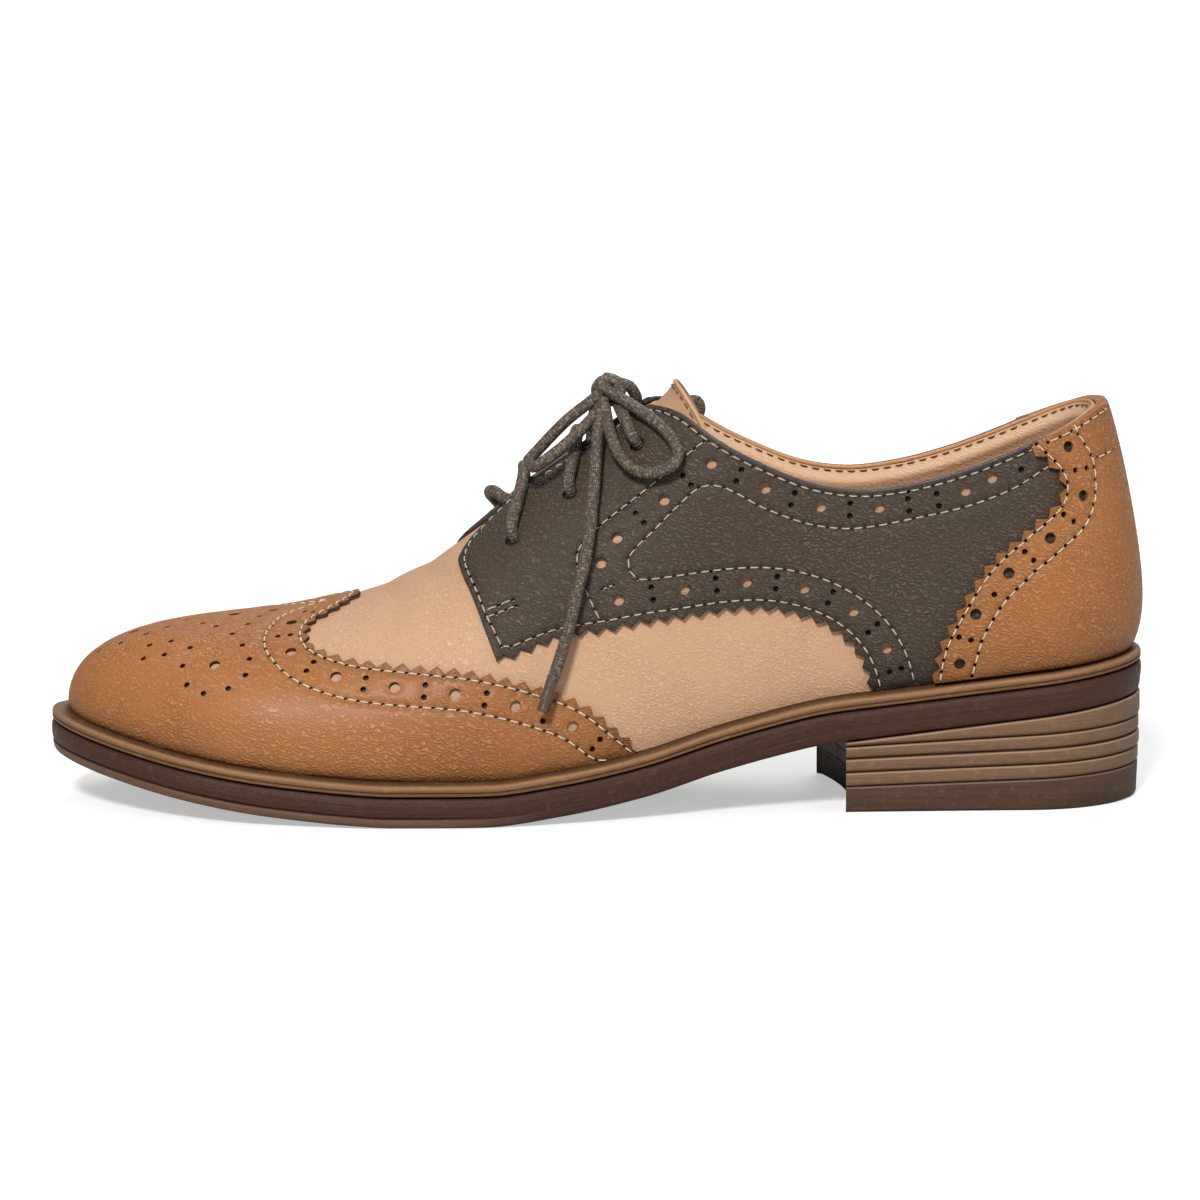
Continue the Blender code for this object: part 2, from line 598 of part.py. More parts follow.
# Eyelet holes through the quarters and the wall behind them
punch_mesh = bpy.data.meshes.new("eyelet_punches")
work = bmesh.new()
for side in (LATERAL, MEDIAL):
    for station, climb in EYELETS:
        spot = np.array([side]), np.array([station], float), np.array([climb])
        middle, axis = Vector(last(*spot)[0]) * MM, Vector(normal(*spot)[0])
        turn = axis.to_track_quat("Z", "Y").to_matrix().to_4x4()
        turn.translation = middle
        bmesh.ops.create_cone(work, cap_ends=True, segments=10, radius1=EYELET_RADIUS * MM,
                              radius2=EYELET_RADIUS * MM, depth=EYELET_PUNCH * MM / 2, matrix=turn)
work.to_mesh(punch_mesh)
work.free()
punches = bpy.data.objects.new("eyelet_punches", punch_mesh)
punches.hide_render = True
punches.display_type = "WIRE"
tools.objects.link(punches)
for made in (upper, quarter_lateral, quarter_medial):
    hole = made.modifiers.new("eyelets", "BOOLEAN")
    hole.operation = "DIFFERENCE"
    hole.solver = "EXACT"
    hole.object = punches

# Tongue under the throat, standing over the collar at its top
points = []
for along in np.linspace(0, 1, TONGUE_ROWS):
    across = np.linspace(-1, 1, TONGUE_COLUMNS + 1)
    station = TONGUE_FRONT + along * (TONGUE_TOP + TONGUE_TOP_SWEEP * across ** 2 - TONGUE_FRONT)
    climb = 1 - np.abs(across) * (TONGUE_HALF[0] + (TONGUE_HALF[1] - TONGUE_HALF[0]) * along)
    side = np.where(across < 0, LATERAL, MEDIAL)
    perk = TONGUE_PERK * along ** 12 * (1 - across ** 2) ** 3
    points += list(lifted(side, station, climb, perk - TONGUE_DROP))
width = TONGUE_COLUMNS + 1
faces = [(i * width + j, i * width + j + 1, (i + 1) * width + j + 1, (i + 1) * width + j)
         for i in range(TONGUE_ROWS - 1) for j in range(TONGUE_COLUMNS)]
tongue = add_mesh("tongue", points, faces, PALE)
face_out(tongue, np.array(points) + np.array((-.5, 0, .8)), np.array(points))
thicken(tongue, TONGUE_THICK, -1)


def tube(name, points, radius, look):
    """A round cord through points, its ends closed."""
    curve = bpy.data.curves.new(name, "CURVE")
    curve.dimensions = "3D"
    curve.bevel_depth = radius * MM
    curve.bevel_resolution = 2
    curve.use_fill_caps = True
    spline = curve.splines.new("POLY")
    spline.points.add(len(points) - 1)
    for point, place in zip(spline.points, points):
        point.co = (*(np.asarray(place) * MM), 1)
    curve.materials.append(look)
    made = bpy.data.objects.new(name, curve)
    parts.objects.link(made)
    return made


def through(points, samples=LACE_SAMPLES):
    """Points along a smooth curve through a few."""
    points = np.array(points, float)
    travel = np.concatenate([[0], np.cumsum(np.linalg.norm(np.diff(points, axis=0), axis=1))])
    table = np.column_stack([travel, points])
    at = np.linspace(0, travel[-1], samples)
    return np.stack([smooth(table, column, at) for column in (1, 2, 3)], -1)


# Lace: bars over the throat from eyelet to eyelet
# ridge station, lift over the ridge of each bar
BARS = [(-15.0, 4.6), (-2.3, 4.2), (7.5, 4.2)]
BAR_START = 2.1
BAR_RISE = 4.3
BAR_LIFT = 4.1
for number, ((station, climb), (ridge, lift)) in enumerate(zip(EYELETS, BARS), 1):
    half = []
    for share, height in ((0, BAR_START), (.07, BAR_RISE), (.35, BAR_LIFT), (.7, BAR_LIFT)):
        at = station + (ridge - station) * math.sin(share * QUARTER_TURN)
        half.append((at, climb + (1 - climb) * share, height))
    path = [lifted(LATERAL, *spot) for spot in half]
    path.append(lifted(LATERAL, ridge, 1.0, lift))
    path += [lifted(MEDIAL, *spot) for spot in half[::-1]]
    tube("lace_bar_%d" % number, through(path, 17), LACE_RADIUS, LACE_BROWN)

# The bow: knot, two loops and two ends
KNOT = np.array((1.6, -1.5, 101.0))
KNOT_RADIUS = 3.2
KNOT_LINE = [(-.5, -3.6, -.8), (0, -1.6, .4), (0, 1.6, .4), (-.5, 3.6, -.8)]
FRONT_LOOP = [(-1, -7.1, 98.6), (-8, -8.5, 93.2), (-15.7, -9, 85.2), (-16.7, -11.8, 84.2), (-15.2, -14.4, 83.2),
              (-8, -14, 87.5), (-1.5, -10, 93.9)]
BACK_LOOP = [(6.8, -3.6, 101.6), (9.8, -10.5, 100), (16.2, -20.7, 94.2), (18.6, -24.6, 89.6), (16.5, -26, 85.4),
             (10.8, -25.2, 83.7), (5.9, -21.5, 85.8), (2.9, -16.4, 90.2), (2.2, -12.2, 93.3)]
LATERAL_END = [(-.3, -14.2, 90), (-1.4, -22.2, 79.4), (-3.1, -30.2, 65.3), (-4.9, -33.7, 56.6), (-6.9, -37, 46.2),
               (-10.9, -39.7, 37.1), (-12.1, -40.2, 35.2)]
MEDIAL_END = [(1.1, 2.5, 100.1), (.6, 6.5, 98.2), (-.3, 11.5, 92), (-1.4, 17.8, 79.4), (-3.1, 24, 65.3), (-4.9, 27, 56.6), (-6.9, 29.6, 46.2),
              (-10.9, 32, 37.1), (-12.1, 32.5, 35.2)]
tube("lace_knot", [KNOT + spot for spot in KNOT_LINE], KNOT_RADIUS, LACE_BROWN)
tube("lace_loop_front", through(FRONT_LOOP, 15), LACE_RADIUS, LACE_BROWN)
tube("lace_loop_back", through(BACK_LOOP, 17), LACE_RADIUS, LACE_BROWN)
AGLET_DROP = np.array((-2.4, -2.0, -7.3))
AGLET_GAP = 0.06
for name, path, mirror in (("lateral", LATERAL_END, 1), ("medial", MEDIAL_END, -1)):
    tube("lace_end_" + name, through(path), LACE_RADIUS, LACE_BROWN)
    drop = AGLET_DROP * (1, mirror, 1)
    tip = np.array(path[-1])
    tube("lace_tip_" + name, [tip + drop * AGLET_GAP, tip + drop], AGLET_RADIUS, AGLET_BROWN)
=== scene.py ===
import math

import bpy
import numpy as np
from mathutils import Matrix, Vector
from mathutils.geometry import delaunay_2d_cdt
from mathutils.kdtree import KDTree


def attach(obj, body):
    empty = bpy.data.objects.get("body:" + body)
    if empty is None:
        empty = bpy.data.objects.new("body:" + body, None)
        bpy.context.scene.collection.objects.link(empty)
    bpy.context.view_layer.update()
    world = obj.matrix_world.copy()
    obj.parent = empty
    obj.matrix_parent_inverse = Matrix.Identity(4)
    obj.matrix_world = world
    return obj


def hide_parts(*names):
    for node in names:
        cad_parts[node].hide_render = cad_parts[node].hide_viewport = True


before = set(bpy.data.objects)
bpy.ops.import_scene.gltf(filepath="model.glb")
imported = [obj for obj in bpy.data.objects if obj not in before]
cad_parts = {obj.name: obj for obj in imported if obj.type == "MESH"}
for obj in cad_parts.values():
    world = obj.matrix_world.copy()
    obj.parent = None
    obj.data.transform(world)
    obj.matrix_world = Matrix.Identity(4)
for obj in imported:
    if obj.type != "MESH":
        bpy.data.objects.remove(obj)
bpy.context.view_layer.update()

# A left wingtip brogue. Toe to -X, heel to +X, lateral side to -Y, floor at z = 0. Sizes in millimetres.
MM = 0.001
BODY = "root"
LATERAL, MEDIAL = -1, 1
QUARTER_TURN = math.pi / 2
FULL_TURN = 2 * math.pi
BOTH_SIDES = (LATERAL, MEDIAL)
TINY = 1e-9

# The last and the sole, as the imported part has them; arch and instep are up to 1.3 mm higher
SOLE_LENGTH = 268.0
TOE_TIP_X = -SOLE_LENGTH / 2
HEEL_BACK_X = SOLE_LENGTH / 2
TOE_POLE_X = -78.0
HEEL_POLE_X = 105.0
TOE_INSET = 6.0
SIDE_INSET = 5.4
HEEL_INSET = 5.8
TOE_RUN = TOE_POLE_X - TOE_TIP_X - TOE_INSET
HEEL_RUN = HEEL_BACK_X - HEEL_INSET - HEEL_POLE_X
FIRST_STATION = TOE_POLE_X - TOE_RUN
LAST_STATION = HEEL_POLE_X + HEEL_RUN
BACK_SEAM = LAST_STATION - 0.35
OUTSOLE_THICK = 7.3
WELT_THICK = 2.8
LAYER_GAP = 0.3
SOLE_STACK = OUTSOLE_THICK + LAYER_GAP + WELT_THICK
SEAT_GAP = 0.4
WALL_THICK = 1.3
OVERLAY_LIFT = 0.3
WING_THICK = 1.1
QUARTER_THICK = 1.2
COUNTER_LIFT = 2.1
COUNTER_THICK = 1.1
TONGUE_DROP = 2.6
TONGUE_THICK = 1.8
BULGE_LEVEL = 0.2
TOOTH_PITCH = 4.2
TOOTH_DEPTH = 1.7
TOE_CHART = 62.0
SIDE_CHART = 110.0
CHART_POWER = 0.8
LACE_RADIUS = 1.48
AGLET_RADIUS = 1.35
EYELET_RADIUS = 2.0

# x, height of the sole's underside
SOLE_PROFILE = np.array([
    (-134, 11.4), (-118, 8.2), (-100, 4.9), (-80, 2.2), (-62, .6), (-50, 0), (-28, 0), (-10, 1.9), (10, 5.6),
    (30, 11.2), (44, 14.6), (52, 16.3), (57, 17.1), (66, 18.16), (134, 26.2)], float)
UNDERSIDE = 1
# x, lateral y, medial y of the sole before the round ends close it
SOLE_SIDES = np.array([
    (-134, -31, 43), (-100, -38, 44), (-75, -42.2, 45.5), (-55, -45, 45.5), (-35, -45.5, 42), (-10, -42, 34),
    (10, -37.5, 28), (30, -32.5, 25.5), (60, -28.5, 26.5), (105, -27.5, 27.5), (134, -27, 27)], float)
LATERAL_Y, MEDIAL_Y = 1, 2
# station, ridge height, ridge y, side round, crown round, bulge over the welt
SECTIONS = np.array([
    (-128, 41.4, 7.0, .71, .71, 0.6), (-110, 42.2, 6.5, .72, .72, 0.8), (-95, 42.8, 6.0, .76, .76, 1.0),
    (-78, 44.3, 5.0, .80, .80, 1.2), (-60, 48.5, 4.0, .85, .85, 1.5), (-43, 56.0, 3.0, .90, .90, 1.6),
    (-30, 64.8, 2.0, .95, .95, 1.6), (-15, 77.6, 1.2, 1.0, 1.0, 1.5), (0, 88.2, 0.6, .95, .95, 1.5),
    (13, 97.5, 0, .80, .90, 1.5), (30, 105.5, 0, .42, .85, 1.6), (62, 115.5, 0, .30, .80, 2.0),
    (105, 121.5, 0, .60, .80, 3.0), (128.2, 121.5, 0, 1.3, .80, 3.5)], float)
RIDGE_Z, RIDGE_Y, SIDE_ROUND, CROWN_ROUND, BULGE = 1, 2, 3, 4, 5
# station, climb from the welt (0) to the ridge (1) where the wall ends: vamp, throat slot, and the rolled
# collar, which stands up to 1.5 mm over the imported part's
COLLAR = np.array([
    (-128, 1), (-24, 1), (-17, .885), (-5, .875), (11, .872), (13.5, .865), (16.9, .81), (20.7, .737),
    (26.3, .620), (32, .538), (38.2, .472), (44.2, .418), (50.5, .373), (57, .343), (63.2, .328),
    (69.5, .323), (75.8, .323), (82, .328), (88.5, .337), (97.4, .358), (104.6, .382), (113, .424),
    (118.8, .445), (128.2, .452)], float)
CLIMB = 1
# Edges of the overlays: station, climb
WING_EDGE = [
    (8.6, .001), (6.3, .022), (3, .050), (-4.7, .125), (-14.8, .198), (-30.9, .298), (-47.6, .390),
    (-63.5, .503), (-70.9, .645), (-70.5, .753), (-62.5, .895), (-57.8, .985)]
QUARTER_LOW_EDGE = [
    (-25.2, .312), (-13.3, .308), (2.5, .258), (21, .200), (39, .155), (48.1, .121), (58, .074), (63.1, .038),
    (65.9, .001)]
QUARTER_FRONT_EDGE = [(-32.0, .845), (-33.5, .776), (-33, .708), (-30.7, .566), (-28.4, .443)]
QUARTER_THROAT_EDGE = [
    (13.3, .885), (11, .893), (-.4, .903), (-13.1, .930), (-20.3, .945), (-25.6, .930), (-30.5, .880)]
COUNTER_EDGE = [
    (80.7, .001), (81.7, .029), (87.5, .092), (94, .151), (105, .214), (108.4, .252), (109.3, .284),
    (108.2, .314), (104.0, .371)]
EYELETS = [(-20.5, .677), (-6.6, .701), (9.7, .711)]


def smooth(table, column, at):
    """Read a column between the rows of a table with a curve that never overshoots."""
    rows, values = table[:, 0], table[:, column]
    widths = np.diff(rows)
    slopes = np.diff(values) / widths
    tangents = np.zeros(len(rows))
    tangents[0], tangents[-1] = slopes[0], slopes[-1]
    for i in range(1, len(rows) - 1):
        if slopes[i - 1] * slopes[i] > 0:
            before, after = 2 * widths[i] + widths[i - 1], widths[i] + 2 * widths[i - 1]
            tangents[i] = (before + after) / (before / slopes[i - 1] + after / slopes[i])
    at = np.clip(np.asarray(at, float), rows[0], rows[-1])
    k = np.clip(np.searchsorted(rows, at, side="right") - 1, 0, len(widths) - 1)
    t = (at - rows[k]) / widths[k]
    start = (1 + 2 * t) * (1 - t) ** 2 * values[k] + t * (1 - t) ** 2 * widths[k] * tangents[k]
    return start + t * t * (3 - 2 * t) * values[k + 1] + t * t * (t - 1) * widths[k] * tangents[k + 1]


def sole_bottom(x):
    return smooth(SOLE_PROFILE, UNDERSIDE, x)


def outline(side, station, toe, flank, heel):
    """Plan point of the sole's outline, taken in by the three insets."""
    toe_turn = np.clip((TOE_POLE_X - station) / TOE_RUN, 0, 1) * QUARTER_TURN
    heel_turn = np.clip((station - HEEL_POLE_X) / HEEL_RUN, 0, 1) * QUARTER_TURN
    toe_x = TOE_POLE_X - (TOE_POLE_X - TOE_TIP_X - toe) * np.sin(toe_turn)
    heel_x = HEEL_POLE_X + (HEEL_BACK_X - heel - HEEL_POLE_X) * np.sin(heel_turn)
    x = np.where(station < TOE_POLE_X, toe_x, np.where(station > HEEL_POLE_X, heel_x, station))
    axis = smooth(SECTIONS, RIDGE_Y, station)
    lateral = smooth(SOLE_SIDES, LATERAL_Y, x) + flank
    medial = smooth(SOLE_SIDES, MEDIAL_Y, x) - flank
    edge = np.where(np.asarray(side) < 0, lateral, medial)
    return x, axis + (edge - axis) * np.cos(toe_turn) * np.cos(heel_turn)


def last(side, station, climb):
    """Point of the last's surface; climb runs from 0 at the welt to 1 at the ridge."""
    foot_x, foot_y = outline(side, station, TOE_INSET, SIDE_INSET, HEEL_INSET)
    axis_x = np.clip(station, TOE_POLE_X, HEEL_POLE_X)
    axis_y = smooth(SECTIONS, RIDGE_Y, axis_x)
    reach = np.hypot(foot_x - axis_x, foot_y - axis_y)
    turn = np.clip(climb, 0, 1) * QUARTER_TURN
    height = np.sin(turn) ** smooth(SECTIONS, CROWN_ROUND, station)
    spread = np.clip(np.cos(turn), 0, 1) ** smooth(SECTIONS, SIDE_ROUND, station)
    swell = height / BULGE_LEVEL * np.exp(1 - height / BULGE_LEVEL) * (1 - height)
    spread = spread + smooth(SECTIONS, BULGE, station) / reach * swell
    x = axis_x + (foot_x - axis_x) * spread
    y = axis_y + (foot_y - axis_y) * spread
    foot_z = sole_bottom(foot_x) + SOLE_STACK + SEAT_GAP
    z = foot_z + (smooth(SECTIONS, RIDGE_Z, x) - foot_z) * height
    return np.stack([x, y, z], -1)


def slopes_of_last(side, station, climb):
    """Derivatives of the last along the station and along the climb."""
    small_station, small_climb = 0.05, 0.0005
    along = last(side, station + small_station, climb) - last(side, station - small_station, climb)
    above, below = np.clip(climb + small_climb, 0, 1), np.clip(climb - small_climb, 0, 1)
    up = last(side, station, above) - last(side, station, below)
    return along / (2 * small_station), up / (above - below)[..., None]


def unit(vectors):
    return vectors / np.linalg.norm(vectors, axis=-1, keepdims=True)


def normal(side, station, climb):
    along, up = slopes_of_last(side, station, climb)
    out = np.cross(along, up) * -np.asarray(side, float)[..., None]
    return out / np.maximum(np.linalg.norm(out, axis=-1, keepdims=True), TINY)


def out_of_last(side, station, climb):
    """Direction in which leather builds up; over the welt it is straight out, never down."""
    out = normal(side, station, climb)
    out[..., 2] = np.maximum(out[..., 2], 0)
    return unit(out)


def lifted(side, station, climb, lift):
    """Point out from the last's surface."""
    spot = [np.asarray(v, float) for v in (side, station, climb, lift)]
    side, station, climb, lift = np.broadcast_arrays(*spot)
    return last(side, station, climb) + out_of_last(side, station, climb) * lift[..., None]


# Lines on the leather: rows of station and climb, read on the lateral side
FINE_STEP = 0.4
TABLE_SAMPLES = 600
FEWEST_STEPS = 2
FEWEST_POINTS = 3
LOWEST_CLIMB = 0.001
HIGHEST_CLIMB = 0.996
EASE_STEPS = 9
TOOTH_SPLITS = 3


def travel_along(points):
    steps = np.linalg.norm(np.diff(points, axis=0), axis=1)
    return np.concatenate([[0], np.cumsum(steps)])


def on_lateral(line):
    return last(LATERAL, line[:, 0], line[:, 1])


def line_points(side, line, lift):
    """Points out from the last's surface along a line."""
    return lifted(side, line[:, 0], line[:, 1], lift)


def at_travel(line, travel, at):
    """Points of a line at distances along it."""
    return np.stack([np.interp(at, travel, line[:, k]) for k in range(line.shape[1])], -1)


def even_line(line, step):
    """A dense line again, with points at even true steps."""
    travel = travel_along(on_lateral(line))
    at = np.linspace(0, travel[-1], max(FEWEST_STEPS, round(travel[-1] / step)) + 1)
    return at_travel(line, travel, at)


def drawn(rows):
    """A dense line through a short table of station and climb."""
    rows = np.array(rows, float)
    table = np.column_stack([travel_along(on_lateral(rows)), rows])
    at = np.linspace(0, table[-1, 0], TABLE_SAMPLES)
    return even_line(np.stack([smooth(table, 1, at), smooth(table, 2, at)], -1), FINE_STEP)


def slide(line, distance):
    """Move points over the last, square to the line they are on; positive is to the left of it."""
    station, climb = line[:, 0], line[:, 1]
    direction = np.gradient(on_lateral(line), axis=0)
    along, up = slopes_of_last(LATERAL, station, climb)
    across = unit(np.cross(normal(LATERAL, station, climb), direction))
    across = across * np.broadcast_to(distance, station.shape)[:, None]
    aa, au, uu = (along * along).sum(-1), (along * up).sum(-1), (up * up).sum(-1)
    xa, xu = (across * along).sum(-1), (across * up).sum(-1)
    det = aa * uu - au * au
    moved = np.stack([station + (xa * uu - xu * au) / det, climb + (xu * aa - xa * au) / det], -1)
    moved[:, 1] = np.clip(moved[:, 1], LOWEST_CLIMB, HIGHEST_CLIMB)
    return moved


def beside(line, distance):
    """The line at a distance to the left of another, its corners eased."""
    moved = slide(line, distance)
    start, end = np.repeat(moved[:1], EASE_STEPS, 0), np.repeat(moved[-1:], EASE_STEPS, 0)
    padded = np.concatenate([start, moved, end])
    window = np.ones(2 * EASE_STEPS + 1) / (2 * EASE_STEPS + 1)
    eased = np.stack([np.convolve(padded[:, k], window, "valid") for k in (0, 1)], -1)
    eased[0], eased[-1] = moved[0], moved[-1]
    return even_line(eased, FINE_STEP)


def joined(*lines):
    return even_line(np.concatenate(lines), FINE_STEP)


def part_from(line, start):
    """The rest of a line from a distance along it."""
    return line[travel_along(on_lateral(line)) >= start]


def saw_line(line):
    """Saw teeth along a line, with points down each tooth."""
    marks = even_line(line, TOOTH_PITCH / 2)
    swing = np.where(np.arange(len(marks)) % 2, 0.5, -0.5) * TOOTH_DEPTH
    swing[0] = swing[-1] = 0
    marks = slide(marks, swing)
    share = np.arange(TOOTH_SPLITS) / TOOTH_SPLITS
    runs = [a + (b - a) * share[:, None] for a, b in zip(marks[:-1], marks[1:])]
    return np.concatenate(runs + [marks[-1:]])


# Charts lay the last flat, so that leather can be cut in them
ROW_SPACE = 0.87
RIDGE_CROWDING = 1.3
CHART_REACH = 0.8


class FrontChart:
    """From over the toe: straight along the foot, polar round the toe."""

    @staticmethod
    def flat(side, station, climb):
        turn = np.clip((TOE_POLE_X - station) / TOE_RUN, 0, 1) * QUARTER_TURN
        reach = (1 - climb ** CHART_POWER) * TOE_CHART
        along = np.maximum(station, TOE_POLE_X) - reach * np.sin(turn)
        return np.stack([along, side * reach * np.cos(turn)], -1)

    @staticmethod
    def spot(place):
        a, b = place[..., 0], place[..., 1]
        turn = np.arctan2(np.maximum(TOE_POLE_X - a, 0), np.abs(b))
        in_toe = a < TOE_POLE_X
        reach = np.where(in_toe, np.hypot(a - TOE_POLE_X, b), np.abs(b))
        station = np.where(in_toe, TOE_POLE_X - turn / QUARTER_TURN * TOE_RUN, a)
        climb = np.clip(1 - reach / TOE_CHART, 0, 1) ** (1 / CHART_POWER)
        return np.where(b < 0, LATERAL, MEDIAL), station, climb

    @staticmethod
    def levels(low, high, step):
        """Rows closer together near the ridge, where the chart is tight."""
        even = np.arange(-TOE_CHART, TOE_CHART, step * ROW_SPACE)
        rows = np.sign(even) * TOE_CHART * (np.abs(even) / TOE_CHART) ** RIDGE_CROWDING
        return rows[(rows > low) & (rows < high)]


class BackChart:
    """From behind: measured round from the back seam."""

    @staticmethod
    def flat(side, station, climb):
        return np.stack([side * (LAST_STATION - station), climb ** CHART_POWER * SIDE_CHART], -1)

    @staticmethod
    def spot(place):
        climb = (np.maximum(place[..., 1], 0) / SIDE_CHART) ** (1 / CHART_POWER)
        return np.where(place[..., 0] < 0, LATERAL, MEDIAL), LAST_STATION - np.abs(place[..., 0]), climb

    @staticmethod
    def levels(low, high, step):
        return np.arange(low + step / 2, high, step * ROW_SPACE)


class LateralChart:
    """One side: along the foot and up."""
    side = LATERAL

    @classmethod
    def flat(cls, side, station, climb):
        return np.stack([station, climb ** CHART_POWER * SIDE_CHART], -1)

    @classmethod
    def spot(cls, place):
        climb = (np.maximum(place[..., 1], 0) / SIDE_CHART) ** (1 / CHART_POWER)
        return np.full(place.shape[:-1], cls.side), place[..., 0], climb

    levels = BackChart.levels


class MedialChart(LateralChart):
    side = MEDIAL


def laid(chart, side, line):
    """A line laid flat in a chart."""
    return chart.flat(side, line[:, 0], line[:, 1])


def chart_slopes(chart, place, lift):
    """How far the leather's surface moves for a step each way in a chart."""
    steps = []
    for step in (np.array((CHART_REACH, 0)), np.array((0, CHART_REACH))):
        ahead = lifted(*chart.spot(place + step), lift)
        behind = lifted(*chart.spot(place - step), lift)
        steps.append((ahead - behind) / (2 * CHART_REACH))
    return steps


def round_holes(chart, centres, lift, radius, corners):
    """Loops of the chart that are round holes on the leather."""
    a, b = chart_slopes(chart, centres, lift)
    first = unit(a)
    second = unit(np.cross(np.cross(a, b), first))
    aa, ab, bb = (a * a).sum(-1), (a * b).sum(-1), (b * b).sum(-1)
    det = aa * bb - ab * ab
    loops = []
    for turn in np.arange(corners) * FULL_TURN / corners:
        reach = radius * (math.cos(turn) * first + math.sin(turn) * second)
        xa, xb = (reach * a).sum(-1), (reach * b).sum(-1)
        loops.append(centres + np.stack([(xa * bb - xb * ab) / det, (xb * aa - xa * ab) / det], -1))
    return list(np.stack(loops, 1))


# Meshes
LEATHER_SHARP = 50
SOLE_SHARP = 60
OUTSIDE, RIM, INSIDE = 0, 1, 2
FAR_AWAY = 1e3


def add_piece(name, points, faces, looks, look_of_face=None, sharp=LEATHER_SHARP):
    """A smooth-shaded mesh object from millimetre points, with its edges over an angle kept sharp."""
    mesh = bpy.data.meshes.new(name)
    mesh.from_pydata([tuple(p) for p in np.asarray(points) * MM], [], [tuple(map(int, f)) for f in faces])
    for look in looks:
        mesh.materials.append(look)
    if look_of_face is not None:
        mesh.polygons.foreach_set("material_index", np.asarray(look_of_face, np.int32))
    mesh.polygons.foreach_set("use_smooth", np.ones(len(mesh.polygons), bool))
    mesh.set_sharp_from_angle(angle=math.radians(sharp))
    mesh.update()
    made = bpy.data.objects.new(name, mesh)
    bpy.context.scene.collection.objects.link(made)
    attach(made, BODY)
    return made


def paint(made, name, values, domain="POINT"):
    """A number at each point or face corner of a piece, for its material to read."""
    layer = made.data.attributes.new(name, "FLOAT", domain)
    layer.data.foreach_set("value", np.asarray(values, np.float32))


def rim_edges(faces):
    """Edges that only one face of a sheet has, in that face's direction."""
    found = {}
    for face in faces:
        for a, b in zip(face, np.roll(face, -1)):
            key = (min(a, b), max(a, b))
            found[key] = None if key in found else (a, b)
    return [edge for edge in found.values() if edge is not None]


def shell(outer, inner, faces):
    """A closed skin from an outer sheet, the same sheet inside, and a rim; and which of them each face is."""
    count = len(outer)
    rims = [(b, a, a + count, b + count) for a, b in rim_edges(faces)]
    back = [tuple(v + count for v in face[::-1]) for face in faces]
    kind = [OUTSIDE] * len(faces) + [INSIDE] * len(back) + [RIM] * len(rims)
    return np.concatenate([outer, inner]), [tuple(f) for f in faces] + back + rims, kind


def ring_faces(levels, count, closed=False):
    """Faces joining one ring of points to the next."""
    faces = []
    for k in range(levels if closed else levels - 1):
        low, high = k * count, (k + 1) % levels * count
        faces += [(low + i, low + (i + 1) % count, high + (i + 1) % count, high + i) for i in range(count)]
    return faces


def tube_faces(first, rings, sides):
    """Faces of a closed tube whose rings of points follow each other."""
    faces = [tuple(first + v for v in face) for face in ring_faces(rings, sides)]
    faces.append(tuple(range(first + sides - 1, first - 1, -1)))
    faces.append(tuple(range(first + (rings - 1) * sides, first + rings * sides)))
    return faces


def gaps_to(points, marks):
    """Distance of each point to the nearest of some marks."""
    if len(marks) == 0:
        return np.full(len(points), FAR_AWAY)
    tree = KDTree(len(marks))
    for k, mark in enumerate(marks):
        tree.insert(mark, k)
    tree.balance()
    return np.array([tree.find(p)[2] for p in points])


def deep(places):
    """Flat places as points for a search."""
    return np.column_stack([places, np.zeros(len(places))])


GRID_STEP = 1.05
GRID_MARGIN = 0.5
CUT_ROUND = 0.28
CUT_REACH = 0.45
GROOVE_DEPTH = 0.3
GROOVE_REACH = 0.7
# How far and how strongly the 'edge' paint darkens leather: dyed, waxed cut edges with painted shade beside
# them, painted shade along the stitch grooves, and darker towards the welt, partly burnished dye and partly
# painted shade
EDGE_SHADE_REACH = 1.2
EDGE_SHADE = 0.6
ROW_SHADE = 0.35
SEAT_SHADE = 0.75
SEAT_SHADE_REACH = 6.0
TUCK_REACH = 1.6
SEARCH_BATCH = 2000
INSIDE_ONLY = 1
CUT_TOLERANCE = 1e-6


def inside_grid(chart, loop):
    """A grid of places inside a loop of the chart."""
    low, high = loop.min(0), loop.max(0)
    start, end = loop, np.roll(loop, -1, axis=0)
    kept = []
    for row, level in enumerate(chart.levels(low[1], high[1], GRID_STEP)):
        crossing = (start[:, 1] > level) != (end[:, 1] > level)
        a, b = start[crossing], end[crossing]
        cuts = np.sort(a[:, 0] + (level - a[:, 1]) / (b[:, 1] - a[:, 1]) * (b[:, 0] - a[:, 0]))
        across = np.arange(low[0] + row % 2 * GRID_STEP / 2, high[0], GRID_STEP)
        across = across[np.searchsorted(cuts, across) % 2 == 1]
        kept.append(np.column_stack([across, np.full(len(across), level)]))
    return np.concatenate(kept)


def within(places, loop):
    """Which places lie inside a closed loop."""
    start, end = loop, np.roll(loop, -1, axis=0)
    rise = np.where(end[:, 1] == start[:, 1], TINY, end[:, 1] - start[:, 1])
    found = []
    for some in np.array_split(places, max(1, len(places) // SEARCH_BATCH)):
        across, up = some[:, None, 0], some[:, None, 1]
        spans = (start[:, 1] > up) != (end[:, 1] > up)
        cut = (end[:, 0] - start[:, 0]) * (up - start[:, 1]) / rise + start[:, 0]
        found.append((spans & (across < cut)).sum(1) % 2 == 1)
    return np.concatenate(found)
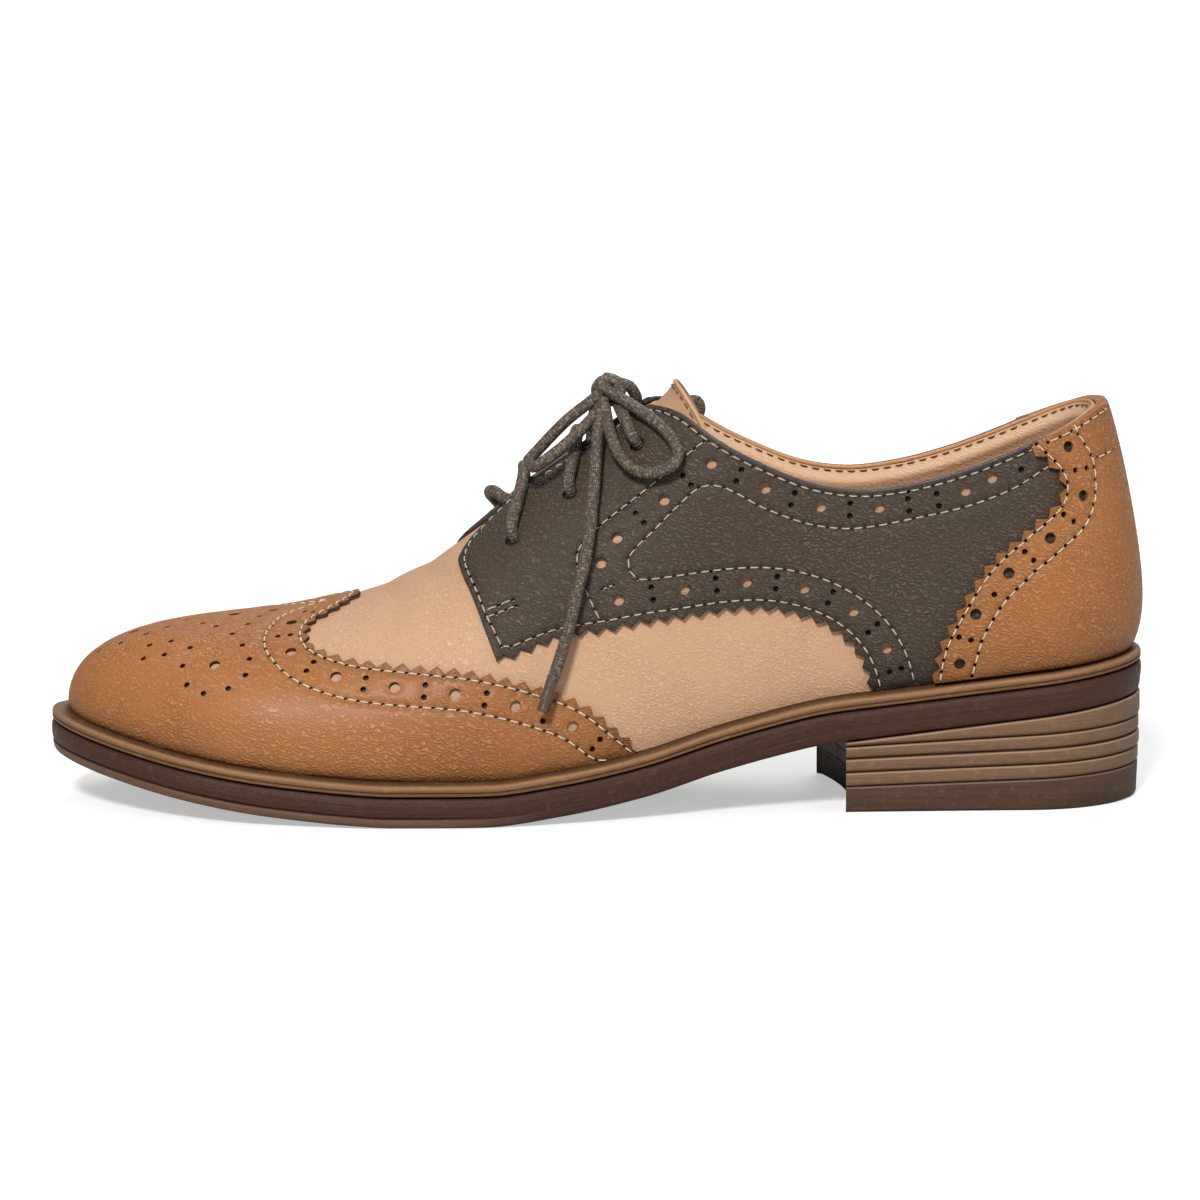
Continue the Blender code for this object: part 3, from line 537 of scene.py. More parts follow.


# Soft creases: side, line of station and climb, half width, depth
CREASES = [
    (LATERAL, [(7.5, .655), (5.6, .61), (5.2, .56)], 2.6, .75),
    (LATERAL, [(1.5, .66), (.2, .60)], 2.2, .45),
    (LATERAL, [(-16.5, .60), (-13.5, .50), (-12.5, .42)], 3.2, .35),
    (MEDIAL, [(7.5, .655), (5.6, .61)], 2.4, .5),
    (LATERAL, [(-41, .93), (-38, .75), (-39, .58)], 3.4, .4),
    (LATERAL, [(-52, .92), (-49, .76), (-50.5, .62)], 3.0, .35),
    (MEDIAL, [(-41, .93), (-38, .75), (-39, .58)], 3.4, .4),
    (MEDIAL, [(-52, .92), (-49, .76)], 3.0, .35),
    (LATERAL, [(-24, .26), (-17, .185), (-13, .13)], 3.0, .3),
    (MEDIAL, [(-24, .26), (-17, .185)], 3.0, .3)]


def crease_drop(points):
    """How far the creases draw in the leather at each point."""
    drop = np.zeros(len(points))
    for side, rows, reach, depth in CREASES:
        marks = line_points(side, drawn(rows), OVERLAY_LIFT)
        drop += depth * np.exp(-(gaps_to(points, marks) / reach) ** 2)
    return drop


def cut_leather(name, chart, loop, holes, rows, lift, thickness, looks, tucked=()):
    """A layer of leather cut to a loop, punched with holes and drawn in along its stitch rows.

    Along a tucked line the layer is turned in to the wall under it, and its edge isn't darkened.
    """
    cuts = [loop] + holes
    rim = np.concatenate(cuts)
    grid = inside_grid(chart, loop)
    grid = grid[gaps_to(deep(grid), deep(rim)) > GRID_MARGIN]
    middles = np.array([hole.mean(0) for hole in holes])
    sizes = np.array([np.linalg.norm(hole - hole.mean(0), axis=1).max() for hole in holes])
    sizes = np.round(sizes, 1)
    for size in np.unique(sizes):
        grid = grid[gaps_to(deep(grid), deep(middles[sizes == size])) > size + GRID_MARGIN / 2]
    edges, owner, first = [], [], 0
    for number, cut in enumerate(cuts):
        edges += [(first + i, first + (i + 1) % len(cut)) for i in range(len(cut))]
        owner += [number] * len(cut)
        first += len(cut)
    places = [Vector(p) for p in np.concatenate([rim, grid])]
    flat, _, faces, origin, _, _ = delaunay_2d_cdt(places, edges, [], INSIDE_ONLY, CUT_TOLERANCE, True)
    hole_of = np.array([owner[ids[0]] if ids and ids[0] < len(owner) else 0 for ids in origin])
    faces = [f for f in faces if not (hole_of[f[0]] and hole_of[f[0]] == hole_of[f[1]] == hole_of[f[2]])]
    place = np.array([(p.x, p.y) for p in flat])
    kept = within(place[np.array(faces)].mean(1), loop)
    faces = [f for f, keep in zip(faces, kept) if keep]
    spot = chart.spot(place)
    top = lift + thickness
    base = lifted(*spot, top)
    to_edge = gaps_to(base, lifted(*chart.spot(loop), top))
    to_hole = gaps_to(base, lifted(*chart.spot(np.concatenate(holes)), top))
    to_row = gaps_to(base, np.concatenate(rows))
    to_seat = np.linalg.norm(base - lifted(spot[0], spot[1], LOWEST_CLIMB, top), axis=1)
    top = top - CUT_ROUND * np.exp(-(np.minimum(to_edge, to_hole) / CUT_REACH) ** 2)
    top = top - GROOVE_DEPTH * np.exp(-(to_row / GROOVE_REACH) ** 2) - crease_drop(base)
    outer = lifted(*spot, top)
    turned = np.exp(-(gaps_to(base, tucked) / TUCK_REACH) ** 4)
    inner = lifted(*spot, lift - OVERLAY_LIFT / 2 - (lift - OVERLAY_LIFT) * turned)
    first = faces[len(faces) // 2]
    facing = np.cross(outer[first[1]] - outer[first[0]], outer[first[2]] - outer[first[0]])
    if np.dot(facing, outer[first[0]] - inner[first[0]]) < 0:
        faces = [f[::-1] for f in faces]
    points, faces, kind = shell(outer, inner, faces)
    made = add_piece(name, points, faces, looks, kind)
    # painted shade and dyed edges: darker near cut edges, towards the welt and along the stitch grooves
    shade = EDGE_SHADE * np.exp(-to_edge / EDGE_SHADE_REACH)
    shade = shade + SEAT_SHADE * np.exp(-to_seat / SEAT_SHADE_REACH)
    shade = np.clip(shade + ROW_SHADE * np.exp(-(to_row / GROOVE_REACH) ** 2), 0, 1)
    paint(made, "edge", np.concatenate([shade, np.ones(len(shade))]) * (1 - np.tile(turned, 2)))
    return made


# Stitches: threads from needle hole to needle hole
STITCH_PITCH = 3.0
THREAD_RADIUS = 0.18
THREAD_SIDES = 6
THREAD_RINGS = np.array((.14, .21, .32, .5, .68, .79, .86))
THREAD_RISE = np.array((-.6, -.1, .1, .14, .1, -.1, -.6))
THREAD_SWELL = np.array((.6, .9, 1, 1, 1, .9, .6))
NEEDLE_RADIUS = 0.5
NEEDLE_CORNERS = 6


def stitch_marks(line):
    return even_line(line, STITCH_PITCH)


def threads(marks, out):
    """Points and faces of the threads between marks on the leather, given the way out of it at each."""
    share = THREAD_RINGS[None, :, None]
    out = unit(out[:-1, None] + (out[1:, None] - out[:-1, None]) * share)
    middle = marks[:-1, None] + (marks[1:, None] - marks[:-1, None]) * share
    middle = middle + out * THREAD_RISE[None, :, None]
    across = unit(np.cross(np.gradient(middle, axis=1), out))
    turns = np.arange(THREAD_SIDES) * FULL_TURN / THREAD_SIDES
    size = (THREAD_RADIUS * THREAD_SWELL)[None, :, None, None]
    ring = np.cos(turns)[:, None] * across[:, :, None] + np.sin(turns)[:, None] * out[:, :, None]
    points = (middle[:, :, None] + size * ring).reshape(-1, 3)
    faces = []
    per_stitch = len(THREAD_RINGS) * THREAD_SIDES
    for first in range(0, len(points), per_stitch):
        faces += tube_faces(first, len(THREAD_RINGS), THREAD_SIDES)
    return points, faces


def stitching(name, marked_rows, look):
    """All the threads of one piece of leather, as one piece."""
    points, faces = [], []
    for marks, out in marked_rows:
        new_points, new_faces = threads(marks, out)
        first = sum(len(p) for p in points)
        points.append(new_points)
        faces += [tuple(v + first for v in face) for face in new_faces]
    return add_piece(name, np.concatenate(points), faces, [look])


def needle_marks(side, line, lift):
    """Needle marks along a line, with the way out of the leather."""
    marks = stitch_marks(line)
    return line_points(side, marks, lift), out_of_last(side, marks[:, 0], marks[:, 1])


def marked(rows, lift):
    """Needle marks of stitch rows, at the bottom of their groove."""
    return [needle_marks(side, line, lift - GROOVE_DEPTH) for side, line in rows]


def needle_holes(chart, rows, lift):
    centres = np.concatenate([laid(chart, side, stitch_marks(line)) for side, line in rows])
    return round_holes(chart, centres, lift, NEEDLE_RADIUS, NEEDLE_CORNERS)


# Brogue holes: a chain of large holes and pairs of small ones along a line
LARGE_HOLE = 1.4
SMALL_HOLE = 0.75
PAIR_HALF = 1.5
LARGE_CORNERS = 16
SMALL_CORNERS = 10


def brogue_chain(line, start, pitch, pattern, closing=0.0):
    """Centres of large and of small holes, which may close up along the line.

    The pattern has L for a large hole and P for a pair.
    """
    travel = travel_along(on_lateral(line))
    number = np.arange(len(pattern))
    at = start + pitch * number - closing * number ** 2
    large = np.array([k == "L" for k in pattern])
    pairs = [at_travel(slide(line, reach), travel, at[~large]) for reach in (-PAIR_HALF, PAIR_HALF)]
    return at_travel(line, travel, at)[large], np.concatenate(pairs)


def punched(chart, sides, large, small, lift):
    """Loops of the large and small holes on the sides given."""
    loops = []
    for spots, radius, corners in ((large, LARGE_HOLE, LARGE_CORNERS), (small, SMALL_HOLE, SMALL_CORNERS)):
        for side in sides:
            loops += round_holes(chart, laid(chart, side, spots), lift, radius, corners)
    return loops


# Materials
NUMBER, COLOUR = "NodeSocketFloat", "NodeSocketColor"


def new_group(name, inputs, outputs):
    """A node group with its named sockets, and its two end nodes."""
    group = bpy.data.node_groups.new(name, "ShaderNodeTree")
    for way, sockets in (("INPUT", inputs), ("OUTPUT", outputs)):
        for socket, kind in sockets.items():
            group.interface.new_socket(socket, in_out=way, socket_type=kind)
    return group, group.nodes.new("NodeGroupInput"), group.nodes.new("NodeGroupOutput")


def add_node(tree, kind, settings=None, **inputs):
    """A node with its settings and its inputs, each a value or another node's output."""
    node = tree.nodes.new(kind)
    for key, value in (settings or {}).items():
        setattr(node, key, value)
    for key, value in inputs.items():
        socket = node.inputs[int(key[1:])] if key[0] == "_" else node.inputs[key.replace("_", " ")]
        if isinstance(value, bpy.types.NodeSocket):
            tree.links.new(value, socket)
        else:
            socket.default_value = value
    return node


def calculate(tree, operation, first, second):
    return add_node(tree, "ShaderNodeMath", {"operation": operation}, _0=first, _1=second).outputs[0]


def blend_colours(tree, share, first, second):
    node = add_node(tree, "ShaderNodeMix", {"data_type": "RGBA"}, _0=share, _6=first, _7=second)
    return node.outputs[2]


def object_place(tree):
    return add_node(tree, "ShaderNodeTexCoord").outputs["Object"]


def attribute(tree, name):
    return add_node(tree, "ShaderNodeAttribute", {"attribute_name": name}).outputs["Fac"]


def noise(tree, place, scale, detail, roughness):
    node = add_node(tree, "ShaderNodeTexNoise", Vector=place, Scale=scale, Detail=detail, Roughness=roughness)
    return node.outputs["Fac"]


def spread(tree, value, limits, onto=(0.0, 1.0)):
    """A value between two limits, laid out between two others."""
    (low, high), (start, end) = limits, onto
    return add_node(tree, "ShaderNodeMapRange", Value=value, _1=low, _2=high, _3=start, _4=end).outputs[0]


def add_bump(tree, shader, strength, depth, height):
    bump = add_node(tree, "ShaderNodeBump", Strength=strength, Distance=depth, Height=height)
    tree.links.new(bump.outputs[0], shader.inputs["Normal"])


WRINKLE_TURNS = 20.0
WRINKLE_RUN = (2400.0, 1900.0, 5600.0)
PATCH_SCALE = 75.0
GAP_SCALE = 1050.0
CLOUD_SCALE = 38.0


def make_grain():
    """Wrinkled grain: close lines that curl and break, stronger in patches, with fine pores between."""
    group, given, result = new_group(
        "leather grain", {"Wrinkle Scale": NUMBER, "Pore Scale": NUMBER, "Pore Share": NUMBER},
        {"Height": NUMBER, "Crest": NUMBER})
    place = object_place(group)
    swirl = noise(group, place, given.outputs["Wrinkle Scale"], detail=1.0, roughness=.5)
    pores = noise(group, place, given.outputs["Pore Scale"], detail=3.0, roughness=.6)
    patch = noise(group, place, PATCH_SCALE, detail=2.0, roughness=.5)
    strength = spread(group, patch, (.36, .64), onto=(.45, 1.0))
    run = add_node(group, "ShaderNodeVectorMath", {"operation": "DOT_PRODUCT"}, _0=place, _1=WRINKLE_RUN)
    curl = calculate(group, "MULTIPLY", swirl, WRINKLE_TURNS)
    wave = calculate(group, "SINE", calculate(group, "ADD", curl, run.outputs["Value"]), 0.0)
    gaps = noise(group, place, GAP_SCALE, detail=1.0, roughness=.5)
    broken = spread(group, gaps, (.32, .6))
    crest = calculate(group, "MULTIPLY", spread(group, wave, (-1.0, 1.0)), broken)
    crest = calculate(group, "MULTIPLY", crest, strength)
    fine = calculate(group, "MULTIPLY", pores, given.outputs["Pore Share"])
    group.links.new(calculate(group, "ADD", crest, fine), result.inputs["Height"])
    group.links.new(crest, result.inputs["Crest"])
    return group


def make_dye_and_shade():
    """Colour of dyed leather: clouds of a deeper dye, pale crests, and the Edge colour as far as the 'edge'
    paint goes, which holds dyed, waxed edges and painted shade: beside cut edges, in stitch grooves, in
    lining creases and towards the welt.
    """
    group, given, result = new_group(
        "dye and painted shade",
        {"Colour": COLOUR, "Deep": COLOUR, "Edge": COLOUR, "Crest Colour": COLOUR, "Crest": NUMBER,
         "Cloud Share": NUMBER, "Crest Share": NUMBER, "Edge Share": NUMBER},
        {"Colour": COLOUR})
    cloud = noise(group, object_place(group), CLOUD_SCALE, detail=5.0, roughness=.62)
    share = calculate(group, "MULTIPLY", spread(group, cloud, (.35, .7)), given.outputs["Cloud Share"])
    colour = blend_colours(group, share, given.outputs["Colour"], given.outputs["Deep"])
    crests = calculate(group, "MULTIPLY", given.outputs["Crest"], given.outputs["Crest Share"])
    colour = blend_colours(group, crests, colour, given.outputs["Crest Colour"])
    uneven = spread(group, cloud, (.3, .7), onto=(.6, 1.0))
    # the 'edge' paint: dyed edges, and painted shade in grooves, creases and crevices
    edge = calculate(group, "MULTIPLY", attribute(group, "edge"), uneven)
    edge = calculate(group, "MULTIPLY", edge, given.outputs["Edge Share"])
    colour = blend_colours(group, edge, colour, given.outputs["Edge"])
    group.links.new(colour, result.inputs["Colour"])
    return group


GRAIN = make_grain()
DYE_AND_SHADE = make_dye_and_shade()


def new_material(name):
    made = bpy.data.materials.new(name)
    made.use_nodes = True
    tree = made.node_tree
    return made, tree, tree.nodes["Principled BSDF"]


def use_group(tree, group, **inputs):
    return add_node(tree, "ShaderNodeGroup", {"node_tree": group}, **inputs)


def rgba(colour):
    return (*colour, 1.0)


PORE_SCALE = 2600.0
PORE_SHARE = 0.4
EDGE_SHARE = 0.8
WAX_ROUGHNESS = 0.32
BUMP_STRENGTH = 0.8


def leather(name, colour, deep, edge, crest, wrinkle=560.0, depth=.0003, cloud=.7, crests=.8,
            roughness=(.42, .62), shine=.3, wax=0.0):
    """Dyed, waxed leather: named colours, wrinkle size and depth, and how far each effect goes."""
    made, tree, shader = new_material(name)
    grain = use_group(tree, GRAIN, Wrinkle_Scale=wrinkle, Pore_Scale=PORE_SCALE, Pore_Share=PORE_SHARE)
    dye = use_group(tree, DYE_AND_SHADE, Colour=rgba(colour), Deep=rgba(deep), Edge=rgba(edge),
                    Crest_Colour=rgba(crest), Crest=grain.outputs["Crest"], Cloud_Share=cloud,
                    Crest_Share=crests, Edge_Share=EDGE_SHARE)
    tree.links.new(dye.outputs["Colour"], shader.inputs["Base Color"])
    shader.inputs["Specular IOR Level"].default_value = shine
    shader.inputs["Coat Weight"].default_value = wax
    shader.inputs["Coat Roughness"].default_value = WAX_ROUGHNESS
    dull = spread(tree, grain.outputs["Height"], (.2, 1.2), onto=roughness[::-1])
    tree.links.new(dull, shader.inputs["Roughness"])
    add_bump(tree, shader, BUMP_STRENGTH, depth, grain.outputs["Height"])
    return made


def thread(name, *colours):
    return leather(name, *colours, wrinkle=1800.0, cloud=.4)


TAN = leather("tan leather", (.29, .112, .031), (.205, .07, .017), (.10, .036, .009), (.47, .205, .072),
              wax=.1, shine=.25)
# Cut edges and the walls of punched holes: a dark edge colour, which in the holes is also painted shade
TAN_CUT = leather("tan cut edge", (.06, .028, .012), (.04, .018, .008), (.04, .018, .008), (.09, .042, .02),
                  cloud=.6)
PALE = leather("pale leather", (.462, .273, .159), (.385, .218, .12), (.30, .15, .07), (.56, .347, .216),
               wrinkle=700.0, depth=.00016, cloud=.5, shine=.22)
PALE_CUT = leather("pale cut edge", (.34, .17, .085), (.25, .12, .05), (.20, .09, .04), (.38, .21, .11))
GREY = leather("grey leather", (.042, .029, .0187), (.029, .0195, .0127), (.012, .009, .006),
               (.106, .077, .053), cloud=.6, shine=.26, crests=.85)
# grey cut edges and hole walls: a dark edge colour, also painted shade in the holes
GREY_CUT = leather("grey cut edge", (.035, .028, .022), (.022, .018, .014), (.02, .016, .012),
                   (.06, .05, .04))
GREY_ROLL = leather("grey rolled edge", (.05, .043, .036), (.034, .028, .022), (.02, .016, .012),
                    (.085, .075, .064), depth=.00005, roughness=(.34, .5), shine=.4)
# Painted shade: near-black wall faces under the small holes and eyelets, for the shade down in them
PAINTED_HOLE_SHADE = leather("painted shade under small holes and eyelets", (.02, .011, .007), (.014, .008, .005), (.01, .006, .004),
                     (.03, .018, .011))
LINING = leather("lining leather", (.62, .405, .255), (.52, .325, .195), (.20, .105, .05), (.68, .47, .315),
                 wrinkle=350.0, depth=.00012, cloud=.5, roughness=(.6, .75), shine=.2)
BINDING = leather("topline binding", (.50, .245, .10), (.38, .17, .065), (.24, .10, .036), (.58, .31, .145),
                  depth=.00006)
THREAD = thread("cream thread", (.68, .55, .38), (.52, .40, .26), (.3, .22, .14), (.80, .69, .53))
DULL_THREAD = thread("grey thread", (.46, .40, .305), (.33, .28, .21), (.2, .16, .12), (.62, .55, .44))
DARK_THREAD = thread("brown thread", (.10, .05, .025), (.07, .035, .017), (.05, .025, .012), (.16, .09, .05))

STREAK_SCALE = 45.0
SCUFF_SCALE = 420.0
# near-black of the dark joints, and painted shade in grooves and crevices
DARK_JOINT_AND_SHADE = (.018, .008, .005)
SOLE_DEPTH = 0.0004
SOLE_SHINE = 0.22


def make_layers():
    """Streaks of stacked, stained leather: fine lines along the edge, with scuffs; and from the points'
    paint, dark joints with painted shade in grooves, and a pale strip with painted highlights.
    """
    group, given, result = new_group(
        "stacked leather streaks", {"Line Scale": NUMBER},
        {"Streak": NUMBER, "Scuff": NUMBER, "Joint And Shade": NUMBER, "Strip": NUMBER})
    place = object_place(group)
    axes = add_node(group, "ShaderNodeSeparateXYZ", Vector=place)
    along = calculate(group, "MULTIPLY", axes.outputs["X"], STREAK_SCALE)
    across = calculate(group, "MULTIPLY", axes.outputs["Y"], STREAK_SCALE)
    up = calculate(group, "MULTIPLY", attribute(group, "level"), given.outputs["Line Scale"])
    spot = add_node(group, "ShaderNodeCombineXYZ", X=along, Y=across, Z=up)
    streak = noise(group, spot.outputs[0], scale=1.0, detail=6.0, roughness=.7)
    group.links.new(streak, result.inputs["Streak"])
    scuff = noise(group, place, SCUFF_SCALE, detail=4.0, roughness=.65)
    group.links.new(scuff, result.inputs["Scuff"])
    uneven = spread(group, streak, (.3, .6), onto=(.7, 1.0))
    for name, socket in (("edge", "Joint And Shade"), ("strip", "Strip")):
        group.links.new(calculate(group, "MULTIPLY", attribute(group, name), uneven), result.inputs[socket])
    return group


STREAKS = make_layers()


def sole_edge_look(name, dark, mid, light, lines, roughness=(.4, .62), scuffs=.5):
    """A trimmed, waxed edge of sole leather, in three tones.

    The light tone also makes the strip along the bottom, and the painted highlights on the welt's and heel's
    edges; the joint colour also paints shade in grooves.
    """
    made, tree, shader = new_material(name)
    streak = use_group(tree, STREAKS, Line_Scale=lines)
    scuff = streak.outputs["Scuff"]
    share = spread(tree, streak.outputs["Streak"], (.25, .75))
    colour = blend_colours(tree, share, rgba(dark), rgba(mid))
    colour = blend_colours(tree, streak.outputs["Strip"], colour, rgba(light))
    scuffed = spread(tree, scuff, (.55, .78), onto=(0.0, scuffs))
    colour = blend_colours(tree, scuffed, colour, rgba(light))
    colour = blend_colours(tree, streak.outputs["Joint And Shade"], colour, rgba(DARK_JOINT_AND_SHADE))
    tree.links.new(colour, shader.inputs["Base Color"])
    shader.inputs["Specular IOR Level"].default_value = SOLE_SHINE
    tree.links.new(spread(tree, scuff, (.3, .7), onto=roughness), shader.inputs["Roughness"])
    height = calculate(tree, "ADD", streak.outputs["Streak"], scuff)
    add_bump(tree, shader, BUMP_STRENGTH, SOLE_DEPTH, height)
    return made


WELT = sole_edge_look("welt leather", (.098, .042, .0165), (.19, .09, .038), (.33, .19, .095), lines=1.5)
SOLE = sole_edge_look("sole leather", (.036, .013, .0065), (.058, .0235, .0115), (.125, .07, .04), lines=1.3,
                      scuffs=.35)
TREAD = sole_edge_look("sole tread", (.10, .06, .04), (.15, .09, .06), (.2, .13, .09), lines=.4,
                       roughness=(.6, .8))
HEEL = sole_edge_look("heel leather", (.12, .066, .036), (.17, .10, .056), (.34, .22, .135), lines=1.4,
                      scuffs=.3)
TOP_PIECE = sole_edge_look("top piece rubber", (.042, .021, .011), (.078, .042, .0225), (.2, .125, .08),
                           lines=.8, roughness=(.5, .7), scuffs=.3)
BRAID_PITCH = 1.5
BRAID_STRANDS = 8
WEAR_SCALE = 1300.0
WEAVE_SHARE = 0.12
LACE_ROUGHNESS = 0.5
LACE_SHINE = 0.25
LACE_BUMP = 0.6
LACE_DEPTH = 0.00014


def braided_cord(name, dark, light, fleck):
    """Waxed braid: crossed strands with pale flecks of thread."""
    made, tree, shader = new_material(name)
    run = calculate(tree, "MULTIPLY", attribute(tree, "along"), FULL_TURN / BRAID_PITCH)
    spin = calculate(tree, "MULTIPLY", attribute(tree, "around"), FULL_TURN * BRAID_STRANDS)
    strands = [calculate(tree, "SINE", calculate(tree, way, run, spin), 0.0) for way in ("ADD", "SUBTRACT")]
    weave = calculate(tree, "MULTIPLY", *strands)
    wear = noise(tree, object_place(tree), WEAR_SCALE, detail=3.0, roughness=.65)
    flecked = calculate(tree, "ADD", calculate(tree, "MULTIPLY", weave, WEAVE_SHARE), wear)
    colour = blend_colours(tree, spread(tree, wear, (.35, .65)), rgba(dark), rgba(light))
    flecks = spread(tree, flecked, (.54, .8), onto=(0.0, .8))
    colour = blend_colours(tree, flecks, colour, rgba(fleck))
    tree.links.new(colour, shader.inputs["Base Color"])
    shader.inputs["Roughness"].default_value = LACE_ROUGHNESS
    shader.inputs["Specular IOR Level"].default_value = LACE_SHINE
    add_bump(tree, shader, LACE_BUMP, LACE_DEPTH, weave)
    return made


LACE = braided_cord("lace braid", (.045, .033, .024), (.10, .076, .057), (.38, .31, .24))
AGLET = sole_edge_look("lace tip sleeve", (.06, .045, .035), (.10, .08, .062), (.16, .13, .10), lines=.3,
                       roughness=(.25, .4))

# Camera at the photograph's angle
PHOTO_SIDE = 1200
PIXELS_PER_MM = 4.08
CAMERA_DISTANCE = 1500.0
CAMERA_RISE = math.radians(9)
CAMERA_YAW = math.radians(-2)
CAMERA_AIM = np.array((0.8, 0.0, 48.1))
SENSOR = 36.0
camera_back = np.array((
    math.sin(CAMERA_YAW) * math.cos(CAMERA_RISE), -math.cos(CAMERA_YAW) * math.cos(CAMERA_RISE),
    math.sin(CAMERA_RISE)))
camera_data = bpy.data.cameras.new("camera")
camera_data.sensor_width = SENSOR
camera_data.lens = SENSOR * PIXELS_PER_MM * CAMERA_DISTANCE / PHOTO_SIDE
camera = bpy.data.objects.new("camera", camera_data)
camera.location = Vector((CAMERA_AIM + camera_back * CAMERA_DISTANCE) * MM)
camera.rotation_euler = Vector(camera_back).to_track_quat("Z", "Y").to_euler()
bpy.context.scene.collection.objects.link(camera)
bpy.context.scene.camera = camera

# Wing cap
WING_TOP = OVERLAY_LIFT + WING_THICK
WING_ROW_INSET = 1.6
WING_CHAIN_INSET = 5.5
# the inner row stands off furthest where the wing turns back
ROW_CLIMBS, ROW_OFFSETS = (.33, .52, .80, .96), (9.2, 10.9, 10.9, 9.5)


def on_both_sides(lines):
    return [(side, line) for side in BOTH_SIDES for line in lines]


def row_points(rows, lift):
    return [line_points(side, line, lift) for side, line in rows]


def both_halves(places):
    return np.array(places + [(a, -b) for a, b in places if b])


def seat_line(start, end):
    """Along the welt between two stations."""
    at = np.linspace(start, end, max(FEWEST_POINTS, int(abs(end - start) / GRID_STEP)))
    return np.stack([at, np.full(len(at), LOWEST_CLIMB)], -1)


wing_line = drawn(WING_EDGE)
inner_offset = np.interp(wing_line[:, 1], ROW_CLIMBS, ROW_OFFSETS)
wing_rows = on_both_sides([beside(wing_line, offset) for offset in (WING_ROW_INSET, inner_offset)])
wing_chain = beside(wing_line, WING_CHAIN_INSET)
wing_holes = brogue_chain(wing_chain, start=7.4, pitch=7.3, pattern="PLPLPLPLPLPLPLP")
wing_saw = saw_line(wing_line)
seat = seat_line(wing_saw[0, 0], FIRST_STATION)
wing_loop = np.concatenate([
    laid(FrontChart, LATERAL, wing_saw), laid(FrontChart, MEDIAL, wing_saw[::-1]),
    laid(FrontChart, MEDIAL, seat[1:]), laid(FrontChart, LATERAL, seat[-2:0:-1])])

# Medallion on the toe, in the front chart: half of it, the other half mirrored
MEDALLION_LARGE = [(-99.8, 0), (-81.7, 0), (-88.4, -26)]
MEDALLION_SMALL = [
    (-91.2, -17.7), (-94.3, -25.1), (-95.3, -32.5), (-92.5, -36.2), (-87.1, -35), (-83.4, -30.5),
    (-82.3, -24.5), (-83, -18.6), (-111.1, -3.6), (-103.9, -6.6), (-97.1, -6), (-98, -13.4),
    (-101.2, -19.1), (-96.5, -19.3), (-93.6, -13.3), (-92.4, -4), (-88.5, 0), (-86.4, -4.5),
    (-85.2, -7.4), (-83.9, -12.7), (-81.4, -7.8), (-79.7, -3.2), (-78.2, 0)]
small_hole_shade_spots, deep_hole_floors = [], []
wing_punched = punched(FrontChart, BOTH_SIDES, *wing_holes, WING_TOP)
wing_punched += needle_holes(FrontChart, wing_rows, WING_TOP)
wing_punched += round_holes(FrontChart, both_halves(MEDALLION_LARGE), WING_TOP, LARGE_HOLE, LARGE_CORNERS)
wing_punched += round_holes(FrontChart, both_halves(MEDALLION_SMALL), WING_TOP, SMALL_HOLE, SMALL_CORNERS)
small_hole_shade_spots.append(lifted(*FrontChart.spot(both_halves(MEDALLION_SMALL)), 0))
small_hole_shade_spots += [line_points(side, wing_holes[1], 0) for side in BOTH_SIDES]
wing = cut_leather("wing_cap_leather", FrontChart, wing_loop, wing_punched, row_points(wing_rows, WING_TOP),
                   OVERLAY_LIFT, WING_THICK, [TAN, TAN_CUT, TAN_CUT])
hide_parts("wing_cap")
stitching("wing_cap_stitching", marked(wing_rows, WING_TOP), THREAD)

# Quarters
QUARTER_TOP = OVERLAY_LIFT + QUARTER_THICK
COLLAR_FRONT = 14.5
COUNTER_TIP = COUNTER_EDGE[-1][0]
UNDER_COUNTER = 3
UNDER_COUNTER_DROP = 0.035
COVER_FROM = 1
COVER_RUN = 4
EDGE_ROW_INSET = 1.5
FRONT_ROW_SHORT = 4
LOW_ROW_INSET = 2.0
LOW_ROW_SHORT = 6
LOW_CHAIN_INSET = 6.6
LOW_CHAIN_FROM = 30.5
PANEL_ROW_INSET = 10.3
PANEL_ROW_FROM = 40.0
BAR_TACK_HALF = 0.9
SEAM_STEPS = 60


def collar_line(start, end):
    at = np.linspace(start, end, TABLE_SAMPLES)
    return even_line(np.stack([at, smooth(COLLAR, CLIMB, at)], -1), FINE_STEP)


low_line = drawn(QUARTER_LOW_EDGE)
front_line = drawn(QUARTER_FRONT_EDGE)
throat_line = drawn(QUARTER_THROAT_EDGE)
back_collar = collar_line(COLLAR_FRONT, COUNTER_TIP + UNDER_COUNTER)[::-1]
edge_row = joined(beside(back_collar, EDGE_ROW_INSET), beside(throat_line, EDGE_ROW_INSET),
                  beside(front_line, EDGE_ROW_INSET)[:-FRONT_ROW_SHORT],
                  beside(low_line, LOW_ROW_INSET)[LOW_ROW_SHORT:])
panel_front = drawn([
    (8.6, .332), (7.2, .350), (6.4, .386), (13.1, .423), (19.3, .453), (24, .472), (26.9, .464),
    (31.2, .430), (38, .365), (44.8, .315), (50.5, .282), (56.8, .260), (61, .252), (67.2, .250),
    (73.5, .252), (79.8, .254), (87, .259), (94.8, .272), (102.2, .295), (107.8, .330)])
panel_row = joined(part_from(beside(low_line, PANEL_ROW_INSET), PANEL_ROW_FROM)[::-1], panel_front)
eyestay_row = drawn([
    (25.3, .601), (19.8, .574), (14.7, .551), (8.7, .536), (.5, .527), (-3.4, .513), (-5.4, .49),
    (-5.5, .451), (-3.2, .366), (-.4, .290)])
bar_tack = drawn([(-27.6, .469), (-20.6, .454)])
bar_tacks = [slide(bar_tack, reach) for reach in (BAR_TACK_HALF, -BAR_TACK_HALF)]
short_row = drawn([(.4, .358), (3, .352)])
